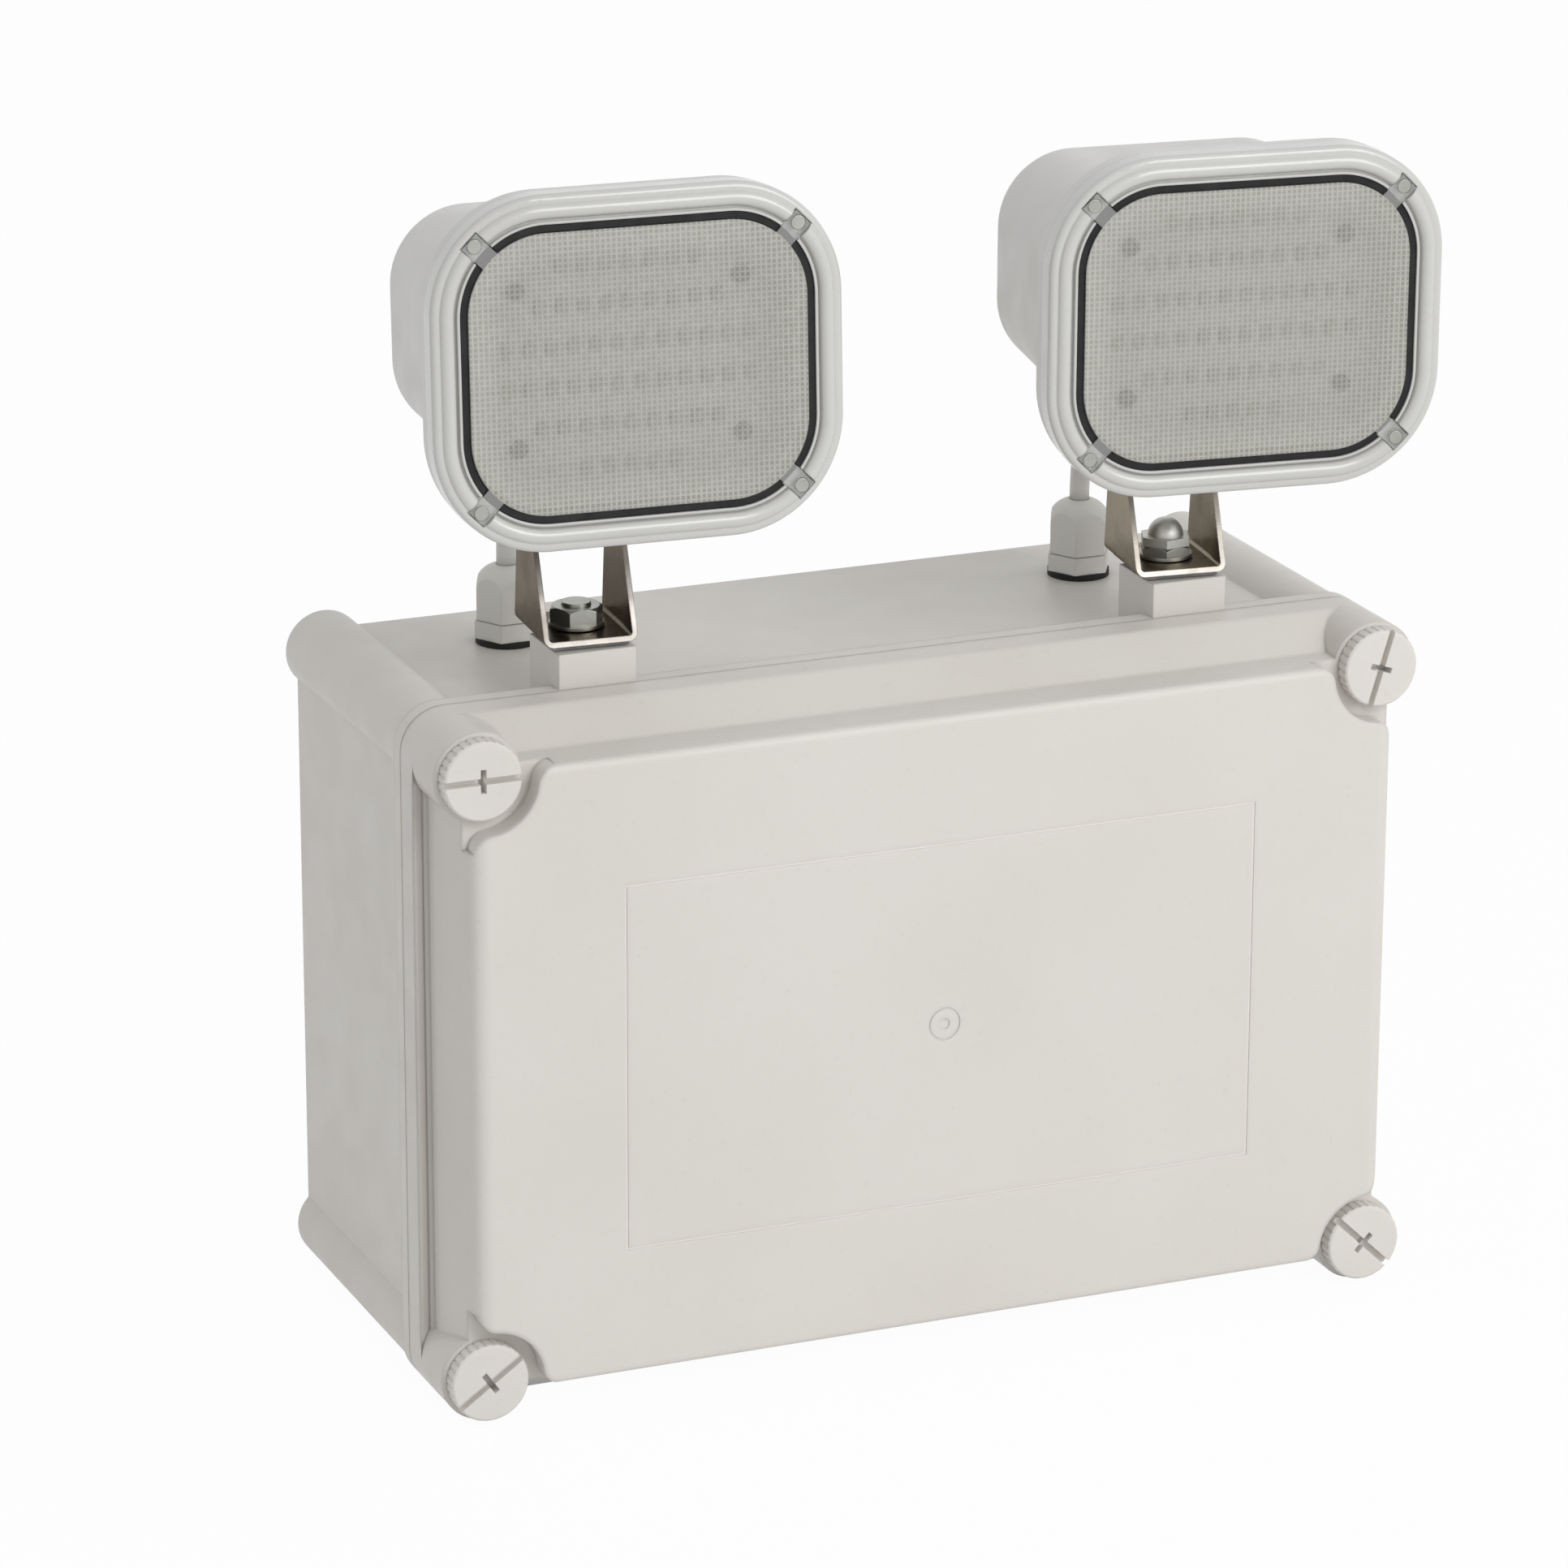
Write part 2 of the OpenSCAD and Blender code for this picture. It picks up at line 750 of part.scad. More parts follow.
// A bent steel band from the tray over the battery's top and down its front
module battery_strap() {
    top = shelf_top + battery_h + gap;
    reach = battery_d + gap;
    color("silver") translate([battery_x - strap_w / 2, -tray_front, top]) difference() {
        union() {
            translate([0, -strap_t, 0]) cube([strap_w, strap_t, strap_foot]);
            translate([0, -reach - strap_t, 0]) cube([strap_w, reach + strap_t, strap_t]);
            translate([0, -reach - strap_t, -strap_hook]) cube([strap_w, strap_t, strap_hook + strap_t]);
        }
        translate([strap_w / 2, over, strap_foot - gear_head_r - gap])
            facing(0) cylinder(r = gear_screw_r + running, h = strap_t + 2 * over);
    }
}

// Places children at the four corner holes of the control board, on the tray's front
module at_board_holes() {
    for (c = corners)
        translate([board_x + c.x * (board_w / 2 - board_hole_inset), -tray_front,
            board_z + c.y * (board_h / 2 - board_hole_inset)]) children();
}

module control_board() {
    color("darkgreen") difference() {
        translate([board_x, 0, board_z]) facing(tray_front + board_gap)
            linear_extrude(board_t) square([board_w, board_h], center = true);
        at_board_holes() facing(board_gap - over) cylinder(r = gear_screw_r + running, h = board_t + 2 * over);
    }
}

// Places children on the control board, at shares of its width and height from its middle
module on_board(shares) {
    translate([board_x, 0, board_z]) facing(tray_front + board_gap + board_t)
        translate([shares.x * board_w, shares.y * board_h, 0]) children();
}

// Transformer, capacitors, relay, heat sink and connector on the board's front
module board_components() {
    color("goldenrod") on_board(transformer_shares) {
        linear_extrude(transformer_h) square([transformer_w, transformer_w * core_share], center = true);
        linear_extrude(transformer_h * core_share) square([transformer_w * core_share, transformer_w], center = true);
    }
    color("midnightblue") on_board(capacitor_shares) for (k = [-1, 0, 1])
        translate([k * capacitor_r * capacitor_pitch_share, 0, 0]) cylinder(r = capacitor_r, h = capacitor_h);
    color("royalblue") on_board(relay_shares) linear_extrude(relay_h) square([relay_w, relay_d], center = true);
    color("silver") on_board(sink_shares) {
        linear_extrude(sink_t) square([sink_w, sink_d], center = true);
        for (k = [0:sink_fins - 1])
            translate([-sink_w / 2, (k / (sink_fins - 1) - 1 / 2) * (sink_d - sink_t) - sink_t / 2, 0])
                cube([sink_w, sink_t, sink_h]);
    }
    color("whitesmoke") on_board(header_shares) linear_extrude(header_h) square([header_w, header_d], center = true);
}

// A terminal block of so many ways, its screws facing forward
module terminal(w, h, d, ways) {
    difference() {
        facing(tray_front) linear_extrude(d) square([w, h], center = true);
        for (k = [0:ways - 1])
            translate([(k + 1 / 2 - ways / 2) * w / ways, 0, 0])
                facing(tray_front + d - terminal_screw_d) cylinder(r = terminal_screw_r, h = terminal_screw_d + over);
    }
}

module mains_terminal() {
    color("whitesmoke") translate([mains_x, 0, mains_z]) terminal(mains_w, mains_d, mains_h, mains_ways);
}

module output_terminals() {
    color("whitesmoke") for (side = [left, right])
        translate([gland_x_of(side), 0, output_bottom + output_h / 2])
            terminal(output_w, output_h, gland_y + output_w / 2 - tray_front, output_ways);
}

module test_button() {
    color("gold") translate([button_x, -service_y, 0]) {
        translate([0, 0, -wall_z - button_out]) cylinder(r = button_r, h = button_out + wall + button_stem);
        translate([0, 0, -inner_z + gap]) cylinder(r = button_flange_r, h = button_flange_h);
    }
}

module status_indicator() {
    color("limegreen") translate([indicator_x, -service_y, 0]) {
        translate([0, 0, indicator_r - wall_z - indicator_out])
            cylinder(r = indicator_r, h = indicator_out - indicator_r + wall + indicator_flange_r);
        translate([0, 0, indicator_r - wall_z - indicator_out]) sphere(indicator_r);
        translate([0, 0, -inner_z]) cylinder(r = indicator_flange_r, h = button_flange_h);
    }
}

module yoke_pad(side) {
    pad_w = yoke_w - 2 * (yoke_t + bend_r);
    pad_d = yoke_d - 2 * pad_inset;
    color("dimgray") at_pan(side) difference() {
        translate([-pad_w / 2, -pad_d / 2, gap]) cube([pad_w, pad_d, pad_t]);
        cylinder(r = bolt_r + running, h = plate_top);
    }
}

// Side view of a yoke: arms that taper to a round top about the tilt axis
module arm_outline() {
    polygon([[-yoke_d / 2, plate_bottom], [yoke_d / 2, plate_bottom],
        [tilt_back + arm_r, tilt_rise], [tilt_back - arm_r, tilt_rise]]);
    translate([tilt_back, tilt_rise]) circle(arm_r);
}

// Front view of a block of width w from the height low, with its two bottom corners rounded by r
module bent_outline(w, low, r) {
    top = tilt_rise + arm_r + over;
    translate([-w / 2, low + r]) square([w, top - low - r]);
    translate([r - w / 2, low]) square([w - 2 * r, top - low]);
    for (m = [-1, 1]) translate([m * (w / 2 - r), low + r]) circle(r);
}

// A strip bent to a U: the plate on the pad and the two arms that hold the head
module yoke(side) {
    color("lightsteelblue") at_pan(side) difference() {
        intersection() {
            translate([0, yoke_d / 2, 0]) rotate([90, 0, 0]) linear_extrude(yoke_d) difference() {
                bent_outline(yoke_w, plate_bottom, yoke_t + bend_r);
                translate([0, over]) bent_outline(yoke_w - 2 * yoke_t, plate_top - over, bend_r);
            }
            translate([-yoke_w / 2, 0, 0]) rotate([90, 0, 90]) linear_extrude(yoke_w) arm_outline();
        }
        translate([0, 0, plate_bottom - over]) cylinder(r = bolt_r + running, h = yoke_t + 2 * over);
        translate([-yoke_w / 2 - over, tilt_back, tilt_rise]) rotate([0, 90, 0])
            cylinder(r = tilt_bolt_r + running, h = yoke_w + 2 * over);
    }
}

module pan_bolt(side) {
    tip = side == left ? pan_nut_h + bolt_tip : lower_nut_h + cap_nut_h;
    head_z = inner_z - pedestal_top;
    color("silver") at_pan(side) {
        translate([0, 0, head_z - pan_head_h]) hexagon(hex_af, pan_head_h);
        translate([0, 0, head_z - pan_head_h]) cylinder(r = bolt_r, h = pan_head_h - head_z + washer_bottom + washer_t + tip);
    }
}

module pan_washer(side) {
    color("silver") at_pan(side) translate([0, 0, washer_bottom]) ring(washer_r, bolt_r + running, washer_t);
}

// A hexagonal nut with the corners of its top turned off
module nut(af, h, bore_r) {
    difference() {
        intersection() {
            hexagon(af, h);
            union() {
                cylinder(r = af, h = h - nut_chamfer);
                translate([0, 0, h - nut_chamfer])
                    cylinder(r1 = af * hex_share, r2 = af / 2, h = nut_chamfer);
            }
        }
        translate([0, 0, -over]) cylinder(r = bore_r, h = h + 2 * over);
    }
}

module pan_nut(side) {
    h = side == left ? pan_nut_h : lower_nut_h;
    turn = side == left ? 0 : right_nut_turn;
    color("silver") at_pan(side) translate([0, 0, washer_bottom + washer_t]) rotate([0, 0, turn])
        nut(hex_af, h, bolt_r + running);
}

module cap_nut(side) {
    bottom = washer_bottom + washer_t + lower_nut_h;
    color("silver") at_pan(side) translate([0, 0, bottom]) rotate([0, 0, right_nut_turn]) difference() {
        union() {
            hexagon(hex_af, cap_nut_h);
            translate([0, 0, cap_nut_h]) intersection() {
                sphere(cap_r);
                cylinder(r = cap_r, h = cap_r);
            }
        }
        translate([0, 0, -over]) cylinder(r = bolt_r + running, h = cap_nut_h + over + running);
    }
}

module tilt_bolt(side) {
    color("silver") at_pan(side) translate([-yoke_w / 2 - tilt_head_h, tilt_back, tilt_rise]) rotate([0, 90, 0]) {
        hexagon(tilt_hex_af, tilt_head_h);
        cylinder(r = tilt_bolt_r, h = tilt_head_h + yoke_w + tilt_head_h + tilt_tip);
    }
}

module tilt_nut(side) {
    color("silver") at_pan(side) translate([yoke_w / 2, tilt_back, tilt_rise]) rotate([0, 90, 0])
        nut(tilt_hex_af, tilt_head_h, tilt_bolt_r + running);
}

// Places children at the four lens ears, X pointing outward along the corner's diagonal
module at_ears() {
    for (c = corners)
        translate([c.x * bezel_cx, c.y * bezel_cy, 0]) rotate([0, 0, atan2(c.y, c.x)]) children();
}

module at_board_screws() {
    for (c = corners) translate([c.x * board_screw_x, c.y * board_screw_y, -board_back]) children();
}

// Section of the housing's body, from the corner centre outward, with a round back edge
module body_section(inset, front, back) {
    full = body_r - inset;
    slim = full - body_narrowing * (back - back_edge_r) / head_d;
    round_r = back_edge_r - inset / 2;
    polygon([[0, -front], [full, -front], [slim, round_r - back], [slim - round_r, -back], [0, -back]]);
    translate([slim - round_r, round_r - back]) circle(round_r);
}

module head_housing(side) {
    cx = body_w / 2 - body_r;
    cy = body_h / 2 - body_r;
    lug_half = yoke_w / 2 - yoke_t - lug_side_gap;
    lug_top = body_up - body_h / 2 + head_rise + head_wall;
    color("gainsboro") at_face(side) {
        difference() {
            union() {
                round_solid(bezel_cx, bezel_cy, -flange_back, -bezel_d)
                    polygon([[0, -flange_back], [bezel_r - flange_taper, -flange_back],
                        [bezel_r - flange_inset, flange_taper - flange_back], [bezel_r - flange_inset, -bezel_d],
                        [0, -bezel_d]]);
                translate([0, body_up, 0]) round_solid(cx, cy, -head_d, -bezel_d) body_section(0, bezel_d, head_d);
            }
            round_solid(bezel_cx, bezel_cy, -board_back, over - bezel_d)
                polygon([[0, -board_back], [tray_r, -board_back], [tray_r, over - bezel_d], [0, over - bezel_d]]);
            translate([0, body_up, 0]) round_solid(cx, cy, head_wall - head_d, over - board_back)
                body_section(head_wall, board_back - over, head_d - head_wall);
            at_ears() translate([ear_axis, 0, -lens_screw_bottom - over])
                cylinder(r = lens_screw_r + running, h = lens_screw_bottom);
            translate([0, -grommet_drop, -head_d - over]) cylinder(r = grommet_neck_r + running, h = head_wall + 2 * over);
        }
        at_board_screws() difference() {
            translate([0, 0, board_back - head_d + head_wall / 2])
                cylinder(r = board_post_outer_r, h = head_d - board_back - head_wall / 2);
            translate([0, 0, -board_screw_l]) cylinder(r = board_screw_r + running, h = board_screw_l + over);
        }
        translate([0, -head_rise, -face_fwd]) difference() {
            union() {
                rotate([0, 90, 0]) cylinder(r = lug_r, h = 2 * lug_half, center = true);
                translate([-lug_half, 0, -lug_r]) cube([2 * lug_half, lug_top, 2 * lug_r]);
            }
            rotate([0, 90, 0]) cylinder(r = tilt_bolt_r + running, h = 2 * lug_half + 2 * over, center = true);
        }
    }
}

module bezel(side) {
    groove_r = bead_centre - bead_r;
    color("whitesmoke") at_face(side) difference() {
        round_sweep(bezel_cx, bezel_cy) {
            polygon([[lens_r - ledge_w, -bezel_d], [bezel_r, -bezel_d], [bezel_r, -edge_r], [bezel_r - edge_r, -step_down],
                [bead_centre, -step_down], [groove_r, bead_rise - bead_r], [groove_r - lip_w, bead_rise - bead_r],
                [groove_r - lip_w, 0], [gasket_r + running, 0], [gasket_r + running, -bezel_seat],
                [lens_r - ledge_w, -bezel_seat]]);
            translate([bezel_r - edge_r, -edge_r - step_down]) circle(edge_r);
            translate([bead_centre, bead_rise - bead_r]) circle(bead_r);
        }
        at_ears() {
            translate([gasket_r - over, -ear_w / 2 - ear_gap, -ear_t - ear_gap])
                cube([ear_reach + over + ear_gap, ear_w + 2 * ear_gap, ear_t + bead_rise + over]);
            translate([ear_axis, 0, -bezel_d - over]) cylinder(r = lens_screw_r + running, h = bezel_d + over);
        }
    }
}

module lens_gasket(side) {
    color("black") at_face(side) difference() {
        round_sweep(bezel_cx, bezel_cy)
            polygon([[lens_r - ledge_w + running, -bezel_seat], [gasket_r, -bezel_seat], [gasket_r, -gasket_sink],
                [lens_r, -gasket_sink], [lens_r, -lens_t], [lens_r - ledge_w + running, -lens_t]]);
        at_ears() translate([lens_r - 2 * ear_w, -ear_w / 2 - ear_gap, -ear_t - ear_gap])
            cube([4 * ear_w, ear_w + 2 * ear_gap, ear_t + over]);
    }
}

module lens(side) {
    r = lens_r - running;
    color("lightgray", 0.6) at_face(side) difference() {
        union() {
            round_solid(bezel_cx, bezel_cy, -lens_t, 0) polygon([[0, -lens_t], [r, -lens_t], [r, 0], [0, 0]]);
            at_ears() translate([r - over, -ear_w / 2, -ear_t])
                cube([gasket_r + ear_reach - r + over, ear_w, ear_t]);
        }
        at_ears() {
            translate([ear_axis, 0, -ear_t - over]) cylinder(r = lens_screw_r + running, h = ear_t + 2 * over);
            translate([ear_axis, 0, -lens_screw_head_h]) cylinder(r = lens_screw_head_r + running, h = over + lens_screw_head_h);
        }
    }
}

module lens_screws(side) {
    color("silver") at_face(side) at_ears() {
        translate([ear_axis, 0, -lens_screw_head_h]) cylinder(r = lens_screw_head_r, h = lens_screw_head_h);
        translate([ear_axis, 0, -lens_screw_bottom]) cylinder(r = lens_screw_r, h = lens_screw_bottom - lens_screw_head_h);
    }
}

module led_board(side) {
    r = tray_r - gap;
    color("white") at_face(side) difference() {
        round_solid(bezel_cx, bezel_cy, -board_back, led_board_t - board_back)
            polygon([[0, -board_back], [r, -board_back], [r, led_board_t - board_back], [0, led_board_t - board_back]]);
        at_board_screws() translate([0, 0, -over]) cylinder(r = board_screw_r + running, h = led_board_t + 2 * over);
    }
}

module led_chips(side) {
    rows = len(chips_in_row);
    color("lemonchiffon") at_face(side)
        for (row = [0:rows - 1], k = [0:chips_in_row[row] - 1])
            translate([(k - (chips_in_row[row] - 1) / 2) * chip_pitch_x - chip_w / 2,
                ((rows - 1) / 2 - row) * chip_pitch_y - chip_l / 2, led_board_t - board_back])
                cube([chip_w, chip_l, chip_h]);
}

module board_screws(side) {
    color("silver") at_face(side) at_board_screws() {
        translate([0, 0, led_board_t]) cylinder(r = board_screw_head_r, h = board_screw_head_h);
        translate([0, 0, gap - board_screw_l]) cylinder(r = board_screw_r, h = board_screw_l + led_board_t - gap);
    }
}

module grommet(side) {
    color("black") at_face(side) translate([0, -grommet_drop, -head_d]) difference() {
        union() {
            translate([0, 0, -grommet_t]) cylinder(r1 = grommet_neck_r, r2 = grommet_r, h = grommet_t);
            cylinder(r = grommet_neck_r, h = head_wall);
            translate([0, 0, head_wall]) cylinder(r = grommet_r, h = grommet_t / 2);
        }
        translate([0, 0, -grommet_t - over])
            cylinder(r = lead_r + running, h = 2 * grommet_t + head_wall + 2 * over);
    }
}

module gland_washer(side) {
    color("black") at_gland(side) ring(gland_washer_r, gland_thread_r + running, gland_washer_t);
}

module gland_body(side) {
    neck_top = gland_washer_t + gland_hex_h + gland_neck_h;
    color("silver") at_gland(side) difference() {
        union() {
            translate([0, 0, -wall - gland_tail]) cylinder(r = gland_thread_r, h = wall + gland_tail + gland_washer_t);
            translate([0, 0, gland_washer_t]) hexagon(gland_hex_af, gland_hex_h);
            translate([0, 0, gland_washer_t]) cylinder(r = gland_neck_r, h = neck_top - gland_washer_t);
        }
        translate([0, 0, -wall - gland_tail - over])
            cylinder(r = lead_r + running, h = neck_top + wall + gland_tail + 2 * over);
    }
}

// Cap of a gland: a dome whose sides are cut by the six flats of its grip
module gland_cap(side) {
    bottom = gland_washer_t + gland_hex_h;
    corner_reach = gland_af * hex_share;
    color("silver") at_gland(side) translate([0, 0, bottom]) difference() {
        intersection() {
            hexagon(gland_af, gland_cap_h + over);
            rotate_extrude() {
                polygon([[0, cap_lift], [corner_reach, cap_lift], [corner_reach, gland_cap_h - gland_dome_r],
                    [corner_reach - gland_dome_r, gland_cap_h], [0, gland_cap_h]]);
                translate([corner_reach - gland_dome_r, gland_cap_h - gland_dome_r]) intersection() {
                    circle(gland_dome_r);
                    square(gland_dome_r);
                }
            }
        }
        translate([0, 0, -over]) cylinder(r = gland_neck_r + running, h = gland_neck_h + over + running);
        cylinder(r = lead_r + running, h = gland_cap_h + over);
    }
}

module gland_locknut(side) {
    color("silver") at_gland(side) translate([0, 0, -wall - gland_nut_h])
        ring_nut(gland_nut_af, gland_thread_r + running, gland_nut_h);
}

module ring_nut(af, bore_r, h) {
    difference() {
        hexagon(af, h);
        translate([0, 0, -over]) cylinder(r = bore_r, h = h + 2 * over);
    }
}

// A point of the face frame, in the frame of the whole light
function face_point(side, p) =
    let (t = tilt_of(side), a = pan_of(side),
        y = -face_fwd - p.z, z = head_rise + p.y,
        yt = y * cos(t) + z * sin(t) + tilt_back, zt = z * cos(t) - y * sin(t) + tilt_rise)
    [side * yoke_x + p.x * cos(a) - yt * sin(a), p.x * sin(a) + yt * cos(a) - pan_y, zt + pedestal_top];

// Points along a lead: straight up through its gland, then a smooth bend into the back of its head
function lead_route(side) =
    let (low = [gland_x_of(side), -gland_y, lead_bottom],
        a = [gland_x_of(side), -gland_y, gland_top],
        d = face_point(side, [0, -grommet_drop, -head_d - grommet_t]),
        inside = face_point(side, [0, -grommet_drop, lead_end_in - head_d]),
        behind = face_point(side, [0, -grommet_drop, -head_d - grommet_t - lead_pull_back]),
        b = a + [0, 0, lead_pull_up])
    concat([low], [for (k = [0:lead_steps]) let (u = k / lead_steps, w = 1 - u)
        w * w * w * a + 3 * w * w * u * b + 3 * w * u * u * behind + u * u * u * d], [inside]);

// A round tube of radius r along points that lie near a plane of constant X
module swept_tube(points, r, sides) {
    n = len(points);
    rings = [for (i = [0:n - 1])
        let (ahead = points[min(i + 1, n - 1)] - points[max(i - 1, 0)],
            t = ahead / norm(ahead),
            s = cross(t, [1, 0, 0]), u = s / norm(s), v = cross(u, t))
        [for (k = [0:sides - 1]) points[i] + r * (cos(360 * k / sides) * v + sin(360 * k / sides) * u)]];
    polyhedron(
        [for (ring_points = rings) each ring_points],
        concat(
            [[for (k = [0:sides - 1]) sides - 1 - k], [for (k = [0:sides - 1]) (n - 1) * sides + k]],
            [for (i = [0:n - 2], k = [0:sides - 1]) let (j = (k + 1) % sides)
                [i * sides + k, i * sides + j, (i + 1) * sides + j, (i + 1) * sides + k]]));
}

module lead(side) {
    color("gainsboro") swept_tube(lead_route(side), lead_r, lead_sides);
}

enclosure_base();
lid();
lid_gasket();
lid_screw(0);  // top_left_lid_screw
lid_screw(1);  // top_right_lid_screw
lid_screw(2);  // bottom_left_lid_screw
lid_screw(3);  // bottom_right_lid_screw
gear_tray();
gear_screws();
battery();
battery_strap();
control_board();
board_components();
mains_terminal();
output_terminals();
test_button();
status_indicator();
yoke(left);  // left_yoke
yoke_pad(left);  // left_yoke_pad
pan_bolt(left);  // left_pan_bolt
pan_washer(left);  // left_pan_washer
pan_nut(left);  // left_pan_nut
tilt_bolt(left);  // left_tilt_bolt
tilt_nut(left);  // left_tilt_nut
head_housing(left);  // left_head_housing
bezel(left);  // left_bezel
lens_gasket(left);  // left_lens_gasket
lens(left);  // left_lens
lens_screws(left);  // left_lens_screws
led_board(left);  // left_led_board
led_chips(left);  // left_led_chips
board_screws(left);  // left_board_screws
grommet(left);  // left_grommet
gland_washer(left);  // left_gland_washer
gland_body(left);  // left_gland_body
gland_cap(left);  // left_gland_cap
gland_locknut(left);  // left_gland_locknut
lead(left);  // left_lead
yoke(right);  // right_yoke
yoke_pad(right);  // right_yoke_pad
pan_bolt(right);  // right_pan_bolt
pan_washer(right);  // right_pan_washer
pan_nut(right);  // right_pan_nut
cap_nut(right);  // right_cap_nut
tilt_bolt(right);  // right_tilt_bolt
tilt_nut(right);  // right_tilt_nut
head_housing(right);  // right_head_housing
bezel(right);  // right_bezel
lens_gasket(right);  // right_lens_gasket
lens(right);  // right_lens
lens_screws(right);  // right_lens_screws
led_board(right);  // right_led_board
led_chips(right);  // right_led_chips
board_screws(right);  // right_board_screws
grommet(right);  // right_grommet
gland_washer(right);  // right_gland_washer
gland_body(right);  // right_gland_body
gland_cap(right);  // right_gland_cap
gland_locknut(right);  // right_gland_locknut
lead(right);  // right_lead
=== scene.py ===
import json
import math

import bmesh
import bpy
import numpy as np
from mathutils import Matrix, Vector


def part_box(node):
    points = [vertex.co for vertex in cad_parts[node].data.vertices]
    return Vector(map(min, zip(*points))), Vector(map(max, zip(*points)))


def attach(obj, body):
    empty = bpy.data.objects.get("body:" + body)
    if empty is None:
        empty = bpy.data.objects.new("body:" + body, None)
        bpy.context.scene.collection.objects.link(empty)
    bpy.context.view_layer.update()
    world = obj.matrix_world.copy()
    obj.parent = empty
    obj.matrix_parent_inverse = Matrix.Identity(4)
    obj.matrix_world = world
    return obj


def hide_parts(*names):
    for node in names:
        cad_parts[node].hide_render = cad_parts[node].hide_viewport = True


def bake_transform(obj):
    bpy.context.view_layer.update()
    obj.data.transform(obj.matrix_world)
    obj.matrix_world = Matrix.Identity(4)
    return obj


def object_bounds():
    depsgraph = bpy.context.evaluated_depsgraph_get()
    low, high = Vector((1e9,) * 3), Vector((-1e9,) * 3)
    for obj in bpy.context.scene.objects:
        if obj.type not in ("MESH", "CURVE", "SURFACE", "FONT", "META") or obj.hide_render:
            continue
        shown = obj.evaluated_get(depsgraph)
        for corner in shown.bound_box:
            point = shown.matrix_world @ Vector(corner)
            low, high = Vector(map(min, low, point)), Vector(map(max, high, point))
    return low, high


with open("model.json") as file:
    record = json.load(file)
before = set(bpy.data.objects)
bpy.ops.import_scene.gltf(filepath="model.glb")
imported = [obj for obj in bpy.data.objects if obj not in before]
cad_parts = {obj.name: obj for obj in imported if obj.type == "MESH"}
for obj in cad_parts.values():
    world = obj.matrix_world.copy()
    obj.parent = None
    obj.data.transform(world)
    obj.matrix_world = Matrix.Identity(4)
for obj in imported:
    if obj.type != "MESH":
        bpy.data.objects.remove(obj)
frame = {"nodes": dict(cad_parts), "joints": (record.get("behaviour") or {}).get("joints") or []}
nodes = frame["nodes"]
cad_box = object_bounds()

MM = 0.001
SIDES = ("left", "right")


# Camera: where it stands, how it is turned, and its lens
CAMERA_AT = (-0.707819, -1.706691, 0.63887)
CAMERA_RIGHT = (0.922512, -0.385959, 0.002553)
CAMERA_UP = (0.117016, 0.28598, 0.951064)
CAMERA_BACK = (-0.367802, -0.877069, 0.308984)
LENS_MM = 153.75
SENSOR_MM = 36.0
SHIFT = (-0.001828, -0.019255)
NEAREST = 0.05
FARTHEST = 50.0

data = bpy.data.cameras.new("camera")
data.lens = LENS_MM
data.sensor_width = SENSOR_MM
data.shift_x, data.shift_y = SHIFT
data.clip_start, data.clip_end = NEAREST, FARTHEST
camera = bpy.data.objects.new("camera", data)
turn = Matrix((CAMERA_RIGHT, CAMERA_UP, CAMERA_BACK)).transposed().to_4x4()
camera.matrix_world = Matrix.Translation(CAMERA_AT) @ turn
bpy.context.scene.collection.objects.link(camera)
bpy.context.scene.camera = camera


# Frames of the heads: a face of a lens belongs to its front if its normal's Y is below this
FRONT_NORMAL_Y = -0.9


def tilt_axis(side):
    """The axis that a head tilts about, as a unit vector."""
    joint = next(j for j in frame["joints"] if j["name"] == f"{side}_tilt")
    return Vector(joint["axis"]).normalized()


def face_frame(side):
    """X across the head, Y up it and Z out of its face. The origin is the middle of the lens's front."""
    mesh = nodes[f"{side}_lens"].data
    across = tilt_axis(side)
    out = Vector()
    for p in mesh.polygons:
        if p.normal.y < FRONT_NORMAL_Y:
            out += p.normal * p.area
    out.normalize()
    up = out.cross(across).normalized()
    points = np.array([v.co for v in mesh.vertices])
    origin = Vector()
    for axis in (across, up):
        along = points @ np.array(axis)
        origin += axis * float(along.max() + along.min()) / 2
    origin += out * float((points @ np.array(out)).max())
    turned = Matrix((across, up, out)).transposed().to_4x4()
    return Matrix.Translation(origin) @ turned


faces = {side: face_frame(side) for side in SIDES}


# Materials: most values of a noise lie in the span MOST
WHITE = (1.0, 1.0, 1.0)
MOST = (0.3, 0.7)
ALL = (0.0, 1.0)


